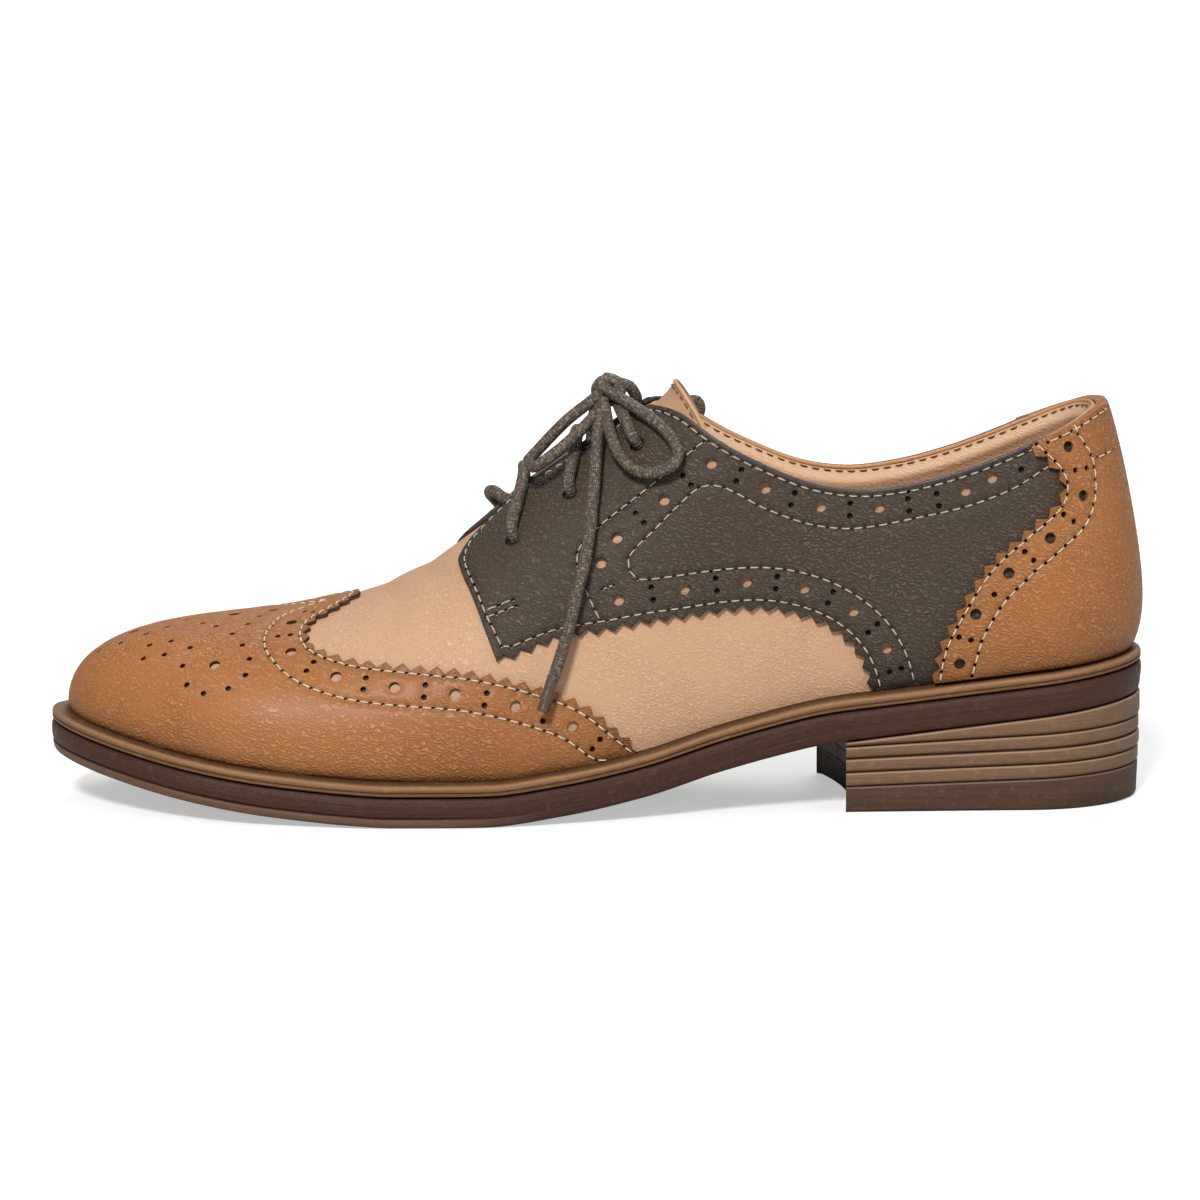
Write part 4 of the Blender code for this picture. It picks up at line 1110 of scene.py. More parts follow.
quarter_rows = [edge_row, panel_row, eyestay_row, short_row] + bar_tacks
low_holes = part_from(beside(low_line, LOW_CHAIN_INSET), LOW_CHAIN_FROM)
low_chain = brogue_chain(low_holes, start=2.2, pitch=8.35, pattern="LPLPLPLPLPLP", closing=.12)
collar_holes = drawn([
    (26.8, .525), (33, .462), (39.5, .402), (47.2, .345), (54, .310), (61.5, .290), (67.8, .286),
    (75.5, .281), (82, .283), (88.8, .295), (95.2, .315), (101.2, .337)])
collar_chain = brogue_chain(collar_holes, start=0.0, pitch=7.12, pattern="LPLPLPLPPLLP")
eyestay_holes = drawn([(26.7, .531), (15, .484), (3.3, .459), (-.4, .421)])
eyestay_chain = brogue_chain(eyestay_holes, start=7.3, pitch=7.3, pattern="PLPLL")
quarter_large, quarter_small = map(np.concatenate, zip(low_chain, collar_chain, eyestay_chain))
quarter_saw = saw_line(low_line)
quarter_seat = seat_line(quarter_saw[-1, 0], BACK_SEAM)[1:]
seam_top = float(smooth(COLLAR, CLIMB, BACK_SEAM)) - UNDER_COUNTER_DROP
seam_climbs = np.linspace(LOWEST_CLIMB, seam_top, SEAM_STEPS + 1)[1:]
seam = np.stack([np.full(SEAM_STEPS, BACK_SEAM), seam_climbs], -1)
full_topline = even_line(collar_line(COLLAR_FRONT, BACK_SEAM)[::-1], GRID_STEP)[1:]
covered = np.clip((full_topline[:, 0] - COUNTER_TIP - COVER_FROM) / COVER_RUN, 0, 1)
full_topline[:, 1] -= UNDER_COUNTER_DROP * covered
quarter_rim = np.concatenate([
    quarter_saw, quarter_seat, seam, full_topline, even_line(throat_line, GRID_STEP),
    even_line(front_line, GRID_STEP)])
for chart, name in ((LateralChart, "lateral"), (MedialChart, "medial")):
    rows = [(chart.side, line) for line in quarter_rows]
    holes = punched(chart, (chart.side,), quarter_large, quarter_small, QUARTER_TOP)
    eyelets = laid(chart, chart.side, np.array(EYELETS))
    holes += round_holes(chart, eyelets, QUARTER_TOP, EYELET_RADIUS, LARGE_CORNERS)
    holes += needle_holes(chart, rows, QUARTER_TOP)
    loop = laid(chart, chart.side, quarter_rim)
    quarter = cut_leather("quarter_leather_" + name, chart, loop, holes, row_points(rows, QUARTER_TOP),
                          OVERLAY_LIFT, QUARTER_THICK, [GREY, GREY_CUT, GREY_CUT])
    for floors, spots in ((small_hole_shade_spots, quarter_small), (deep_hole_floors, quarter_large)):
        floors.append(line_points(chart.side, spots, 0))
    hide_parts("quarter_" + name)
    stitching("quarter_stitching_" + name, marked(rows, QUARTER_TOP), DULL_THREAD)

# Heel counter
COUNTER_TOP = COUNTER_LIFT + COUNTER_THICK
COUNTER_ROW_INSET = 1.3
COLLAR_ROW_INSET = 1.2
COLLAR_ROW_FROM = 2.5
counter_line = drawn(COUNTER_EDGE)
inner_row = drawn([
    (89.8, .003), (91, .022), (92.4, .045), (94.2, .062), (98.2, .095), (102.8, .120), (106, .142),
    (109, .170), (111.8, .197), (113.4, .225), (114.5, .27), (114.6, .32), (113.6, .355), (112.2, .385),
    (111.2, .42)])
collar_row = beside(collar_line(COUNTER_TIP + COLLAR_ROW_FROM, LAST_STATION), -COLLAR_ROW_INSET)
band_row = drawn([(115.6, .331), (118, .335), (123.5, .341), (BACK_SEAM, .344)])
counter_rows = on_both_sides([beside(counter_line, -COUNTER_ROW_INSET), inner_row, collar_row, band_row])
counter_middle = drawn([
    (86.2, .004), (87, .022), (88.2, .050), (91, .082), (95.2, .120), (100.5, .142), (105, .170),
    (107.8, .195), (110, .225), (112.2, .265), (112, .315), (109.8, .372)])
counter_chain = brogue_chain(counter_middle, start=3.5, pitch=6.4, pattern="LPLPLPLPLPL")
counter_saw = saw_line(counter_line)
counter_seat = seat_line(LAST_STATION, counter_saw[0, 0])
counter_collar = even_line(collar_line(counter_saw[-1, 0], LAST_STATION), GRID_STEP)
half = np.concatenate([counter_seat[:-1], counter_saw, counter_collar[1:]])
counter_loop = np.concatenate([laid(BackChart, LATERAL, half), laid(BackChart, MEDIAL, half[-2:0:-1])])
counter_holes = punched(BackChart, BOTH_SIDES, *counter_chain, COUNTER_TOP)
counter_holes += needle_holes(BackChart, counter_rows, COUNTER_TOP)
tucked = np.concatenate(row_points(on_both_sides([counter_collar]), COUNTER_TOP))
counter = cut_leather("heel_counter_leather", BackChart, counter_loop, counter_holes,
                      row_points(counter_rows, COUNTER_TOP), COUNTER_LIFT, COUNTER_THICK,
                      [TAN, TAN, TAN_CUT], tucked)
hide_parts("heel_counter")
stitching("heel_counter_stitching", marked(counter_rows, COUNTER_TOP), THREAD)

# Vamp and wall, with the lining inside
RIM_DROP = 0.006
CLOSED_TOP = 0.9999
WELD_DIGITS = 2
HOLE_SHADE_REACH = 1.7
HOLE_SINK = 0.4
HOLE_SINK_REACH = 2.6
FOOT_BULGE = 2.2
FOOT_REACH = 0.05
EYELET_SHADE_REACH = 2.9
PAD_BULGE = 1.1
PAD_MIDDLE = 3.0
PAD_REACH = 1.7
# where the padded lining would crease, a line of painted shade; the shape has no crease there
PAD_CREASE = 5.6
PAD_CREASE_REACH = 0.9
PAD_SHADE = 0.7


def stations(toe, sides, heel):
    """Stations from toe to heel, given how many there are on each stretch."""
    return np.concatenate([
        np.linspace(FIRST_STATION, TOE_POLE_X, toe, endpoint=False),
        np.linspace(TOE_POLE_X, HEEL_POLE_X, sides, endpoint=False),
        np.linspace(HEEL_POLE_X, LAST_STATION, heel)])


WALL_STATIONS = stations(toe=40, sides=170, heel=40)
WALL_LEVELS = np.linspace(0, 1, 56)


def round_sides(spots):
    """Stations once round: toe, lateral side, heel, medial side."""
    lateral = [(LATERAL, s) for s in spots]
    medial = [(MEDIAL, s) for s in spots[-2:0:-1]]
    return np.array(lateral + medial, float)


def grid_faces(columns, rows, closed):
    """Faces of a grid of points, column after column."""
    faces = []
    for i in range(columns if closed else columns - 1):
        a, b = i * rows, (i + 1) % columns * rows
        faces += [(a + j, b + j, b + j + 1, a + j + 1) for j in range(rows - 1)]
    return faces


def welded(points, faces):
    """Numbers of the points to keep, and the faces with coincident points joined."""
    rounded = np.round(points, WELD_DIGITS)
    _, keep, number = np.unique(rounded, axis=0, return_index=True, return_inverse=True)
    number = number.ravel()
    joined_faces = []
    for face in faces:
        corners = list(dict.fromkeys(int(number[v]) for v in face))
        if len(corners) > 2:
            joined_faces.append(tuple(corners))
    return keep, joined_faces


def travel_below(points):
    """How far each point of the wall is below its top, one column after another."""
    columns = points.reshape(-1, len(WALL_LEVELS), 3)
    return np.linalg.norm(columns - columns[:, -1:], axis=2).ravel()


around = round_sides(WALL_STATIONS)
side = np.repeat(around[:, 0], len(WALL_LEVELS))
station = np.repeat(around[:, 1], len(WALL_LEVELS))
top = smooth(COLLAR, CLIMB, around[:, 1])
top = np.where(top < CLOSED_TOP, top - RIM_DROP, 1)
climb = (top[:, None] * WALL_LEVELS[None]).ravel()
bare = lifted(side, station, climb, 0)
sunk = crease_drop(bare)
sunk += HOLE_SINK * np.exp(-(gaps_to(bare, np.concatenate(deep_hole_floors)) / HOLE_SINK_REACH) ** 4)
outer = bare - (bare - lifted(side, station, climb, -1)) * sunk[:, None]
below = travel_below(bare)
padded = np.exp(-((below - PAD_MIDDLE) / PAD_REACH) ** 2) * (station > COLLAR_FRONT)
foot = np.exp(-(climb / FOOT_REACH) ** 2)
inner = lifted(side, station, climb, -WALL_THICK - PAD_BULGE * padded - FOOT_BULGE * foot)
pad_crease_shade = np.exp(-((below - PAD_CREASE) / PAD_CREASE_REACH) ** 2) * (station > COLLAR_FRONT)
keep, faces = welded(bare, grid_faces(len(around), len(WALL_LEVELS), True))
middles = np.array([bare[keep][list(face)].mean(0) for face in faces])
# wall faces under small holes and eyelets take the painted hole shade
shaded = gaps_to(middles, np.concatenate(small_hole_shade_spots)) < HOLE_SHADE_REACH
eyelet_shade_spots = [lifted(side, *spot, 0) for side in BOTH_SIDES for spot in EYELETS]
shaded |= gaps_to(middles, eyelet_shade_spots) < EYELET_SHADE_REACH
points, faces, kind = shell(outer[keep], inner[keep], faces)
vamp_looks = [PALE, LINING, LINING, PAINTED_HOLE_SHADE]
kind[:len(shaded)] = np.where(shaded, vamp_looks.index(PAINTED_HOLE_SHADE), OUTSIDE)
vamp = add_piece("vamp_and_lining", points, faces, vamp_looks, kind)
# the lining's 'edge' paint: painted shade along the pad's crease
paint(vamp, "edge", np.concatenate([np.zeros(len(keep)), PAD_SHADE * pad_crease_shade[keep]]))
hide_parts("upper")

# Tongue, standing over the collar at its top
TONGUE_FRONT = -42.0
TONGUE_TOP = 19.8
TONGUE_TOP_SWEEP = 5.0
TONGUE_PERK = 4.0
TONGUE_HALF = (.26, .35)
TONGUE_ROWS = 90
TONGUE_COLUMNS = 50
TONGUE_ROUND = 0.5
TONGUE_SWEEP_POWER = 1.4
TONGUE_PERK_POWER = 12
TONGUE_PERK_ROUND = 1.6
TONGUE_TOP_BRINK = 60
TONGUE_SIDE_BRINK = 30
TONGUE_SHADE_REACH = 2
TONGUE_EDGE_STEPS = 400
TONGUE_ROW_SIDE = 0.09
TONGUE_ROW_TOP = 0.98
TONGUE_ROW_START = 0.45


def tongue_spot(along, across):
    """Side, station, climb and lift of a place on the tongue."""
    sweep = TONGUE_TOP_SWEEP * np.abs(across) ** TONGUE_SWEEP_POWER
    spot = TONGUE_FRONT + along * (TONGUE_TOP + sweep - TONGUE_FRONT)
    rise = 1 - np.abs(across) * (TONGUE_HALF[0] + (TONGUE_HALF[1] - TONGUE_HALF[0]) * along)
    perk = TONGUE_PERK * along ** TONGUE_PERK_POWER * (1 - across ** 2) ** TONGUE_PERK_ROUND
    return np.where(across < 0, LATERAL, MEDIAL), spot, rise, perk - TONGUE_DROP


along, across = np.meshgrid(
    np.linspace(0, 1, TONGUE_ROWS), np.linspace(-1, 1, TONGUE_COLUMNS + 1), indexing="ij")
along, across = along.ravel(), across.ravel()
side, station, climb, lift = tongue_spot(along, across)
brink = np.minimum((1 - along) * TONGUE_TOP_BRINK, (1 - np.abs(across)) * TONGUE_SIDE_BRINK)
outer = lifted(side, station, climb, lift - TONGUE_ROUND * np.exp(-brink))
inner = lifted(side, station, climb, lift - TONGUE_THICK)
points, faces, kind = shell(outer, inner, grid_faces(TONGUE_ROWS, TONGUE_COLUMNS + 1, False))
tongue = add_piece("tongue_leather", points, faces, [PALE, PALE_CUT, LINING], kind)
# darker towards the tongue's edges and on its rim: dyed edges and painted shade
paint(tongue, "edge", np.concatenate([np.exp(-brink / TONGUE_SHADE_REACH), np.ones(len(brink))]))
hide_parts("tongue")


def tongue_edge(start, top, half):
    """Up the lateral side of the tongue, over its top and down the medial side."""
    share = np.linspace(0, 1, TONGUE_EDGE_STEPS)
    level = np.ones(TONGUE_EDGE_STEPS)
    up = start + (top - start) * share
    run = np.concatenate([np.stack([up, -half * level], -1),
                          np.stack([top * level, half * (2 * share - 1)], -1)[1:-1],
                          np.stack([up[::-1], half * level], -1)])
    side, station, climb, lift = tongue_spot(run[:, 0], run[:, 1])
    return lifted(side, station, climb, lift), out_of_last(side, station, climb)


line, out = tongue_edge(TONGUE_ROW_START, TONGUE_ROW_TOP, 1 - TONGUE_ROW_SIDE)
travel = travel_along(line)
at = np.linspace(0, travel[-1], round(travel[-1] / STITCH_PITCH))
marks = [at_travel(values, travel, at) for values in (line, out)]
stitching("tongue_stitching", [marks], DARK_THREAD)

# Rolled topline, and the stitches that hold the lining
BINDING_RADIUS = 0.5
BINDING_DROP = 0.2
LATERAL_BINDING_DROP = 0.6
LEVEL_FROM = 95.0
PIPING_RADIUS = 0.55
PIPING_DROP = 0.35
PIPING_LIFT = 0.8
TONGUE_ROLL = 0.55
TONGUE_ROLL_SKIP = 12
TONGUE_ROLL_STEP = 1.2
ROLL_SIDES = 10
RIM_SKIP = 2
LINING_ROW = 1.0
LINING_ROW_BACK = 4
LINING_SEAM_LIFT = -WALL_THICK - 0.25
THROAT_FRONT = -15.0
TUBE_START = (0.3, 0.2, 1.0)
CURVE_STEPS = 24


def tube_points(path, radius, sides):
    """Rings of points round a path, each a radius away; the radius may vary along and around."""
    ahead = unit(np.gradient(path, axis=0))
    across = np.cross(ahead[0], TUBE_START)
    turns = np.arange(sides) * FULL_TURN / sides
    size = np.broadcast_to(radius, (len(path), sides))
    rings = []
    for spot, way, reach in zip(path, ahead, size):
        across = across - way * np.dot(across, way)
        across = across / np.linalg.norm(across)
        up = np.cross(way, across)
        ring = np.cos(turns)[:, None] * across + np.sin(turns)[:, None] * up
        rings.append(spot + reach[:, None] * ring)
    return np.concatenate(rings)


def curve_through(points, step):
    """Even points along a smooth curve through a few."""
    points = np.array(points, float)
    padded = np.concatenate([[2 * points[0] - points[1]], points, [2 * points[-1] - points[-2]]])
    share = np.linspace(0, 1, CURVE_STEPS, endpoint=False)[:, None]
    dense = []
    for a, b, c, d in zip(padded[:-3], padded[1:-2], padded[2:-1], padded[3:]):
        dense.append(.5 * (2 * b + (c - a) * share + (2 * a - 5 * b + 4 * c - d) * share ** 2
                           + (3 * b - a - 3 * c + d) * share ** 3))
    dense = np.concatenate(dense + [points[-1:]])
    travel = travel_along(dense)
    return at_travel(dense, travel, np.linspace(0, travel[-1], max(FEWEST_POINTS, round(travel[-1] / step))))


def rolled_edge(name, path, radius, look):
    """A round roll of leather along a path."""
    points = tube_points(path, radius, ROLL_SIDES)
    return add_piece(name, points, tube_faces(0, len(path), ROLL_SIDES), [look])


# the lateral half of the binding is lower, and comes level at the heel
half_collar = collar_line(THROAT_FRONT, LAST_STATION)
drop = np.interp(half_collar[:, 0], (LEVEL_FROM, LAST_STATION), (LATERAL_BINDING_DROP, BINDING_DROP))
near_half = beside(half_collar, -drop)
far_half = beside(half_collar, -BINDING_DROP)[-2::-1]
rim = np.concatenate([line_points(LATERAL, near_half, -WALL_THICK / 2),
                      line_points(MEDIAL, far_half, -WALL_THICK / 2)])
binding = rolled_edge("topline_binding", rim[::RIM_SKIP], BINDING_RADIUS, BINDING)
rolled = even_line(beside(joined(back_collar, throat_line), PIPING_DROP), 2 * FINE_STEP)
for side, name in ((LATERAL, "lateral"), (MEDIAL, "medial")):
    rim = line_points(side, rolled, PIPING_LIFT)
    piping = rolled_edge("quarter_rolled_edge_" + name, rim, PIPING_RADIUS, GREY_ROLL)
line, _ = tongue_edge(TONGUE_ROW_START, 1, 1)
rim = curve_through(line[::TONGUE_ROLL_SKIP] - (0, 0, TONGUE_ROLL), TONGUE_ROLL_STEP)
tongue_roll = rolled_edge("tongue_rolled_edge", rim, TONGUE_ROLL, PALE)
lining_row = beside(collar_line(COLLAR_FRONT + LINING_ROW_BACK, LAST_STATION), -LINING_ROW)
lining_rows = []
for side in BOTH_SIDES:
    marks, out = needle_marks(side, lining_row, LINING_SEAM_LIFT)
    lining_rows.append((marks, -out))
stitching("lining_stitching", lining_rows, DARK_THREAD)

# Welt and outsole: sections swept round the sole
SOLE_STATIONS = stations(toe=50, sides=120, heel=40)
# height over the underside, inset
WELT_SECTION = [
    (7.6, .95), (7.75, .5), (8.0, .22), (8.4, .16), (8.62, .48), (8.85, .17), (9.5, .22), (9.95, .42),
    (10.25, .8), (10.38, 1.4), (10.3, 2.4), (10.32, 3.2), (10.6, 3.9), (10.95, 4.5), (11.0, 8.7),
    (7.6, 8.7)]
SOLE_EDGE = [
    (0, 2.0), (.1, 1.2), (.35, .75), (.8, .5), (1.4, .36), (2.0, .28), (2.25, .4), (2.45, .8),
    (2.65, .45), (2.95, .22), (3.8, .1), (5.2, 0), (6.3, .1), (6.8, .28), (7.15, .6), (7.3, 1.0)]
# dark lines of the sole edge, painted shade in its groove and dark joints at its bottom and top: height,
# strength
SOLE_LINES = {.1: .6, 2.45: .9, 7.15: .6, 7.3: 1}
# painted shade in the welt's grooves and its crevice to the upper, a dark joint to the sole, and painted
# highlights on its pale rounded edges: inset, strength
WELT_SHADE = {.95: 1, .5: .9, .48: .8, 2.4: .1, 3.2: .4, 3.9: .75, 4.5: .9, 8.7: 1}
WELT_HIGHLIGHT = {.42: .6, .8: .3, .22: .3}
# the groove over the bottom strip runs out behind the ball
GROOVE_LEVELS = (2.25, 2.45, 2.65)
GROOVE_FLAT_INSET = 0.26
GROOVE_END = -12.0
GROOVE_FADE = 30.0
sole_ring = round_sides(SOLE_STATIONS)
count = len(sole_ring)
grooved = np.clip((GROOVE_END - sole_ring[:, 1]) / GROOVE_FADE, 0, 1)


def sole_points(height, inset):
    if height in GROOVE_LEVELS:
        inset = GROOVE_FLAT_INSET + (inset - GROOVE_FLAT_INSET) * grooved
    x, y = outline(sole_ring[:, 0], sole_ring[:, 1], inset, inset, inset)
    return np.stack([x, y, sole_bottom(x) + height], -1)


def cross_strips(first, count):
    """Faces right across a ring, from each lateral point to the medial point opposite it."""
    faces = []
    for i in range(count // 2):
        corners = dict.fromkeys([i, i + 1, count - i - 1, (count - i) % count])
        faces.append(tuple(first + c for c in corners))
    return faces


points = np.concatenate([sole_points(*level) for level in WELT_SECTION])
welt = add_piece("welt_strip", points, ring_faces(len(WELT_SECTION), count, True), [WELT], sharp=SOLE_SHARP)
paint(welt, "level", np.repeat([height for height, _ in WELT_SECTION], count))
# painted shade and dark joints, then painted highlights on the welt's edges
paint(welt, "edge", np.repeat([WELT_SHADE.get(inset, 0) for _, inset in WELT_SECTION], count))
paint(welt, "strip", np.repeat([WELT_HIGHLIGHT.get(inset, 0) for _, inset in WELT_SECTION], count))
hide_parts("welt")

levels = len(SOLE_EDGE)
points = np.concatenate([sole_points(*level) for level in SOLE_EDGE])
bottom = [face[::-1] for face in cross_strips(0, count)]
faces = ring_faces(levels, count) + bottom + cross_strips((levels - 1) * count, count)
sole_looks = [SOLE, TREAD]
edge_look, tread_look = 0, 1
looks = [edge_look] * ((levels - 1) * count) + [tread_look] * len(bottom) + [edge_look] * len(bottom)
outsole = add_piece("outsole_edge_and_tread", points, faces, sole_looks, looks, sharp=SOLE_SHARP)
paint(outsole, "level", np.repeat([height for height, _ in SOLE_EDGE], count))
# painted shade in the groove, and the dark joints
dark = []
for height, _ in SOLE_EDGE:
    fade = grooved if height in GROOVE_LEVELS else np.ones(count)
    dark.append(SOLE_LINES.get(height, 0) * fade)
paint(outsole, "edge", np.concatenate(dark))
paint(outsole, "strip", np.concatenate([grooved * (height < GROOVE_LEVELS[0]) for height, _ in SOLE_EDGE]))
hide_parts("outsole")

# Heel: stacked lifts over a top piece
BREAST_LATERAL_X = 59.4
BREAST_MEDIAL_X = 56.0
BREAST_RECESS = 3.2
BREAST_STEPS = 40
BREAST_MARGIN = 1
HEEL_FLANK = 0.3
HEEL_TAPER = 0.6
STACK_TAPER = 0.6 * HEEL_TAPER
LIFT_ROUND = 0.4
LIFT_GROOVE = 0.7
# height at the breast and at the back of each line between lifts, from the floor up
LIFT_LINES = [(6.3, 8.6), (9.9, 12.5), (13.2, 16.3), (16.2, 20.2)]
# each lift's own inset, how dark its rings are at the joints, with painted shade in their grooves, and how
# pale: a painted highlight on each lift's upper edge
LIFT_SHIFT = [.05, -.1, .12, -.04]
LIFT_DARK, LIFT_HIGHLIGHT = [1, .35, 0, 0, 0, 1], [0, 0, 0, 0, .9, 0]
# top piece: height over the floor and inset of its bevel, then drop and inset under the first line
TOP_PIECE_BEVEL = [(0, .8), (.25, .25), (.8, 0)]
TOP_PIECE_RIM = [(.6, 0), (.3, .1), (0, LIFT_GROOVE / 2)]
# the top piece darkens towards the floor and at its joint to the first lift: painted shade and a dark joint
TOP_PIECE_DARK = [.6, .3, 0, 0, 0, 1]


def heel_plan(inset):
    """Plan of the heel: two sides, the round back and the hollow breast."""
    spots = SOLE_STATIONS[SOLE_STATIONS > BREAST_LATERAL_X + BREAST_MARGIN]
    lateral = np.concatenate([[BREAST_LATERAL_X], spots])
    medial = np.concatenate([spots[-2::-1], [BREAST_MEDIAL_X]])
    sides = np.concatenate([np.full(len(lateral), LATERAL), np.full(len(medial), MEDIAL)])
    x, y = outline(sides, np.concatenate([lateral, medial]), inset, inset, inset)
    share = np.arange(1, BREAST_STEPS) / BREAST_STEPS
    breast_x = x[-1] + (x[0] - x[-1]) * share + BREAST_RECESS * (1 - (2 * share - 1) ** 2)
    breast_y = y[-1] + (y[0] - y[-1]) * share
    return np.concatenate([x, breast_x + inset / 2]), np.concatenate([y, breast_y])


def heel_level(front, back, inset):
    """A ring of the heel on a plane that climbs evenly from the breast to the back."""
    x, y = heel_plan(inset)
    share = (x - BREAST_LATERAL_X) / (HEEL_BACK_X - BREAST_LATERAL_X)
    return np.stack([x, y, front + (back - front) * share], -1)


def lift_rings(low, high, inset):
    """Rings of one lift, its corners rounded, from its lower to its upper line."""
    rings = []
    for share, drop, shrink in ((0, 0, LIFT_GROOVE), (0, LIFT_ROUND, LIFT_ROUND / 3), (0, 2 * LIFT_ROUND, 0),
                                (1, -2 * LIFT_ROUND, 0), (1, -LIFT_ROUND, LIFT_ROUND / 3),
                                (1, -LIFT_GROOVE / 4, LIFT_GROOVE)):
        front, back = (a + (b - a) * share for a, b in zip(low, high))
        rings.append(heel_level(front + drop, back + drop, inset + shrink))
    return rings


def stacked(name, rings, dark, pale, look):
    """A stack of rings of the heel, each as dark or as pale as told: dark joints with painted shade in their
    grooves, and painted highlights.
    """
    count = len(rings[0])
    last_ring = (len(rings) - 1) * count
    faces = ring_faces(len(rings), count)
    faces += [tuple(range(count))[::-1], tuple(range(last_ring, last_ring + count))]
    made = add_piece(name, np.concatenate(rings), faces, [look], sharp=SOLE_SHARP)
    paint(made, "level", np.concatenate([ring[:, 2] for ring in rings]))
    paint(made, "edge", np.repeat(dark, count))
    paint(made, "strip", np.repeat(pale, count))
    return made


seat_line_ends = tuple(float(sole_bottom(x)) for x in (BREAST_LATERAL_X, HEEL_BACK_X))
rings = []
for low, high, shift in zip(LIFT_LINES, LIFT_LINES[1:] + [seat_line_ends], LIFT_SHIFT):
    taper = STACK_TAPER * (1 - low[0] / seat_line_ends[0])
    rings += lift_rings(low, high, HEEL_FLANK + taper + shift)
heel = stacked("heel_lifts", rings, LIFT_DARK * len(LIFT_LINES), LIFT_HIGHLIGHT * len(LIFT_LINES), HEEL)
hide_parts("heel_stack")
inset = HEEL_FLANK + HEEL_TAPER
rings = [heel_level(height, height, inset + shrink) for height, shrink in TOP_PIECE_BEVEL]
low, high = LIFT_LINES[0]
rings += [heel_level(low - drop, high - drop, HEEL_FLANK + STACK_TAPER + shrink)
          for drop, shrink in TOP_PIECE_RIM]
top_piece = stacked("heel_top_piece_rubber", rings, TOP_PIECE_DARK, LIFT_HIGHLIGHT, TOP_PIECE)
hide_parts("heel_top_piece")

# Lace
LACE_SIDES = 14
LACE_STEP = 0.6
BRAID_DEPTH = 0.012
BRAID_WAVES = 3
AGLET_STEPS = 24
AGLET_OVERLAP = 0.06


def lace_tube(name, path, look, radius=LACE_RADIUS, depth=BRAID_DEPTH):
    """A round braided cord along a path, with how far along and around each corner of it is."""
    travel = travel_along(path)
    turns = np.arange(LACE_SIDES) * FULL_TURN / LACE_SIDES
    wave = FULL_TURN * travel[:, None] / BRAID_PITCH
    braid = np.sin(wave + BRAID_WAVES * turns) * np.sin(wave - BRAID_WAVES * turns)
    points = tube_points(path, radius * (1 + depth * (braid - 1)), LACE_SIDES)
    faces = tube_faces(0, len(path), LACE_SIDES)
    made = add_piece(name, points, faces, [look])
    along_values, around_values = [], []
    for face in faces:
        spots = [v % LACE_SIDES for v in face]
        wraps = max(spots) == LACE_SIDES - 1 and min(spots) == 0
        along_values += [travel[v // LACE_SIDES] for v in face]
        around_values += [(s + LACE_SIDES if wraps and s == 0 else s) / LACE_SIDES for s in spots]
    paint(made, "along", along_values, "CORNER")
    paint(made, "around", around_values, "CORNER")
    return made


# ridge station, lift over the ridge of each bar across the throat
BARS = [(-15.0, 4.6), (-2.3, 4.2), (7.5, 4.2)]
# share of the way from the eyelet to the ridge, lift
BAR_RUN = [(.02, -2.2), (.03, .6), (.06, 2.4), (.11, 3.2), (.35, 3.6), (.7, 4.1)]
# the first bar's far half, down into the throat and up again over the far facing
FAR_HALF = [
    (-17.6, 3.4, 77.0), (-19.4, 2.0, 73.0), (-22.4, 3.0, 73.0), (-25.2, 4.6, 74.6), (-26.0, 8.0, 73.6),
    (-24.2, 13.0, 70.9), (-22.0, 17.0, 67.4), (-20.8, 17.4, 63.6)]
for number, ((station, climb), (ridge, lift)) in enumerate(zip(EYELETS, BARS), 1):
    run = [(station + (ridge - station) * math.sin(share * QUARTER_TURN), climb + (1 - climb) * share, height)
           for share, height in BAR_RUN]
    path = [lifted(LATERAL, *spot) for spot in run]
    path.append(lifted(LATERAL, ridge, 1.0, lift))
    path += FAR_HALF if number == 1 else [lifted(MEDIAL, *spot) for spot in run[::-1]]
    bar = lace_tube("lace_bar_cord_%d" % number, curve_through(path, LACE_STEP), LACE)
    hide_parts("lace_bar_%d" % number)

KNOT = np.array((2.7, -1.5, 100.8))
FRONT_LOOP = [(1.0, -4.4, 100.4), (-1, -7.1, 98.6), (-8, -8.5, 93.2), (-15.7, -9, 85.2), (-16.7, -11.8, 84.2),
              (-15.2, -14.4, 83.2), (-8, -13.6, 88.4), (-1.5, -10, 94.2), (1.2, -7.0, 97.4)]
BACK_LOOP = [
    (.4, -3.4, 101.4), (.6, -5.6, 101.8), (4.2, -7.2, 99.6), (8.2, -11.5, 97.6), (13, -17.3, 94.8),
    (16.6, -21.6, 91.8), (18.6, -24.6, 88.6), (18.4, -25.8, 86.2), (16.3, -26.4, 84.2), (11.9, -25.8, 83),
    (8.2, -23.6, 83.6), (4.8, -20.2, 86.6), (3.1, -16.4, 90.2), (2.2, -12.6, 93.6), (1.6, -8.6, 97.2)]
LATERAL_END = [
    (1.4, -7.2, 98.4), (.4, -11.2, 94.6), (-.3, -14.2, 90), (-1.4, -22.2, 79.4), (-3.3, -30.2, 65.3),
    (-5.5, -33.7, 56.6), (-8.2, -37, 46.2), (-11.2, -39.7, 37.1), (-12.1, -40.2, 35.2)]
MEDIAL_END = [(1.1, 2.5, 100.1), (.6, 6.5, 98.2), (-.3, 11.5, 92), (-1.4, 17.8, 79.4), (-3.1, 24, 65.3),
              (-4.9, 27, 56.6), (-6.9, 29.6, 46.2), (-10.9, 32, 37.1), (-12.1, 32.5, 35.2)]
AGLET_DROP = np.array((-2.4, -2.0, -7.3))
KNOT_TURNS = 1.55
KNOT_START = -0.9
KNOT_STEPS = 60
KNOT_SKIP = 6
KNOT_RING = 2.7
KNOT_OVAL = 1.05
KNOT_WIDE = 6.4
KNOT_SHIFT = (0, 1.2, 0.6)
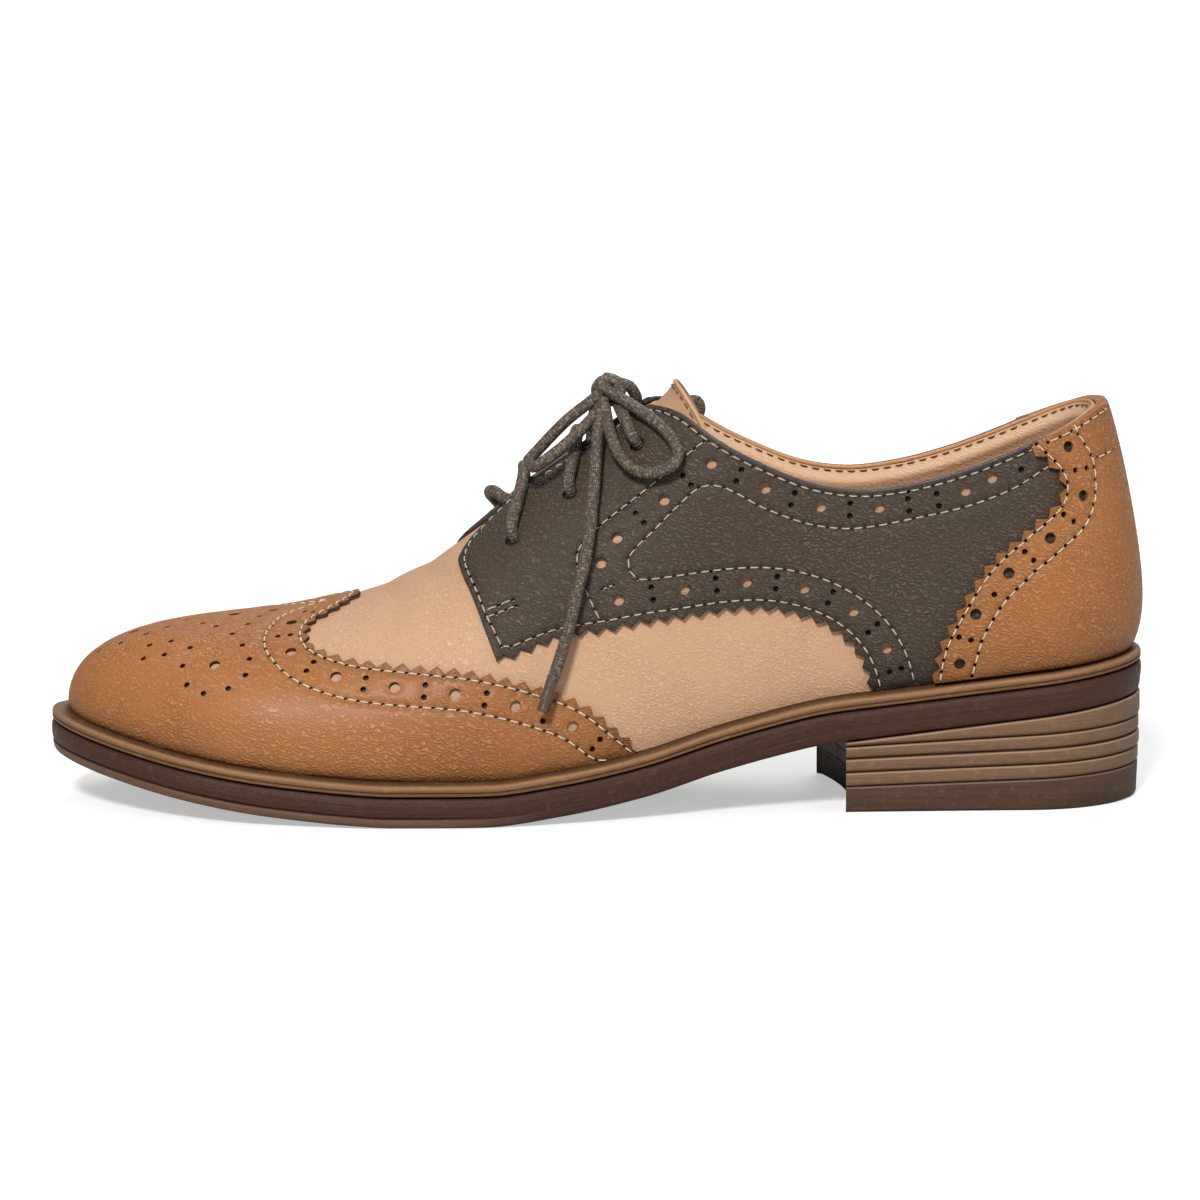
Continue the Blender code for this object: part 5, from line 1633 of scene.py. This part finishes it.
turn = np.linspace(KNOT_START, KNOT_START + KNOT_TURNS * FULL_TURN, KNOT_STEPS)
wrap = np.stack([KNOT_RING * KNOT_OVAL * np.cos(turn), np.linspace(-KNOT_WIDE / 2, KNOT_WIDE / 2, KNOT_STEPS),
                 KNOT_RING * np.sin(turn)], -1) - KNOT_SHIFT
KNOT_TAIL = [(5.4, 2.4, 101.4), (8.2, 2.2, 100.4), (9.8, 3.4, 97.6), (9.8, 7.4, 95.4)]
# the far loop of the bow, over the medial quarter: station, climb, lift
FAR_LOOP = [
    (14, .72, 3.2), (19, .685, 3.2), (23.4, .675, 3.4), (26.2, .66, 3.2), (26.6, .625, 2.4),
    (25, .60, 1.9)]
far_loop = [lifted(MEDIAL, *spot) for spot in FAR_LOOP]
knot_path = curve_through(np.concatenate([(KNOT + wrap)[::KNOT_SKIP], KNOT_TAIL, far_loop]), LACE_STEP)
knot = lace_tube("lace_knot_cord", knot_path, LACE)
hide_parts("lace_knot")
for name, path, mirror in (("lateral", LATERAL_END, 1), ("medial", MEDIAL_END, -1)):
    drop = AGLET_DROP * (1, mirror, 1)
    aglet_path = np.array(path[-1]) + drop * np.linspace(-AGLET_OVERLAP, 1, AGLET_STEPS)[:, None]
    lace_tube("lace_tip_sleeve_" + name, aglet_path, AGLET, radius=AGLET_RADIUS, depth=0)
    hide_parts("lace_tip_" + name)


def lace_cord(name, node, points):
    """A free run of the lace."""
    path = curve_through(points, LACE_STEP)
    made = lace_tube(name, path, LACE)
    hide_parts(node)


lace_cord("lace_front_loop", "lace_loop_front", FRONT_LOOP)
lace_cord("lace_back_loop", "lace_loop_back", BACK_LOOP)
lace_cord("lace_lateral_end", "lace_end_lateral", LATERAL_END)
lace_cord("lace_medial_end", "lace_end_medial", MEDIAL_END)

# The insole keeps the solid's own shape
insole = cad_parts["insole"]
insole.data.materials.clear()
insole.data.materials.append(LINING)

# Floor and light
FLOOR_HALF = 6.0
FLOOR_GREY = (.6, .6, .6)
FLOOR_GLOW = (.45, .45, .45)
FLOOR_ROUGHNESS = 0.6
WORLD_LIGHT = 0.25
floor_mesh = bpy.data.meshes.new("floor")
floor_corners = [(a * FLOOR_HALF, b * FLOOR_HALF, 0) for a, b in ((-1, -1), (1, -1), (1, 1), (-1, 1))]
floor_mesh.from_pydata(floor_corners, [], [(0, 1, 2, 3)])
floor = bpy.data.objects.new("floor", floor_mesh)
bpy.context.scene.collection.objects.link(floor)
floor_look, floor_tree, floor_shader = new_material("pale floor")
floor_shader.inputs["Base Color"].default_value = rgba(FLOOR_GREY)
floor_shader.inputs["Roughness"].default_value = FLOOR_ROUGHNESS
floor_shader.inputs["Emission Color"].default_value = rgba(FLOOR_GLOW)
seen = add_node(floor_tree, "ShaderNodeLightPath").outputs["Is Camera Ray"]
floor_tree.links.new(seen, floor_shader.inputs["Emission Strength"])
floor_mesh.materials.append(floor_look)

world = bpy.data.worlds.new("studio")
bpy.context.scene.world = world
world.use_nodes = True
backdrop = world.node_tree.nodes["Background"]
backdrop.inputs["Color"].default_value = (1, 1, 1, 1)
backdrop.inputs["Strength"].default_value = WORLD_LIGHT


def soft_light(name, toward, power, width):
    """Even studio light from a direction, as wide as a large softbox."""
    light = bpy.data.lights.new(name, "SUN")
    light.energy = power
    light.angle = math.radians(width)
    lamp = bpy.data.objects.new(name, light)
    lamp.rotation_euler = Vector(toward).to_track_quat("Z", "Y").to_euler()
    bpy.context.scene.collection.objects.link(lamp)


soft_light("softbox in front", toward=(-.3, -.95, .9), power=3.45, width=12)
soft_light("softbox behind", toward=(.3, 1.0, .8), power=.9, width=35)
soft_light("softbox at the heel", toward=(1.0, -.5, .35), power=.6, width=40)
soft_light("softbox overhead", toward=(0, .1, 1.0), power=.4, width=60)
bpy.context.scene.view_settings.view_transform = "Standard"
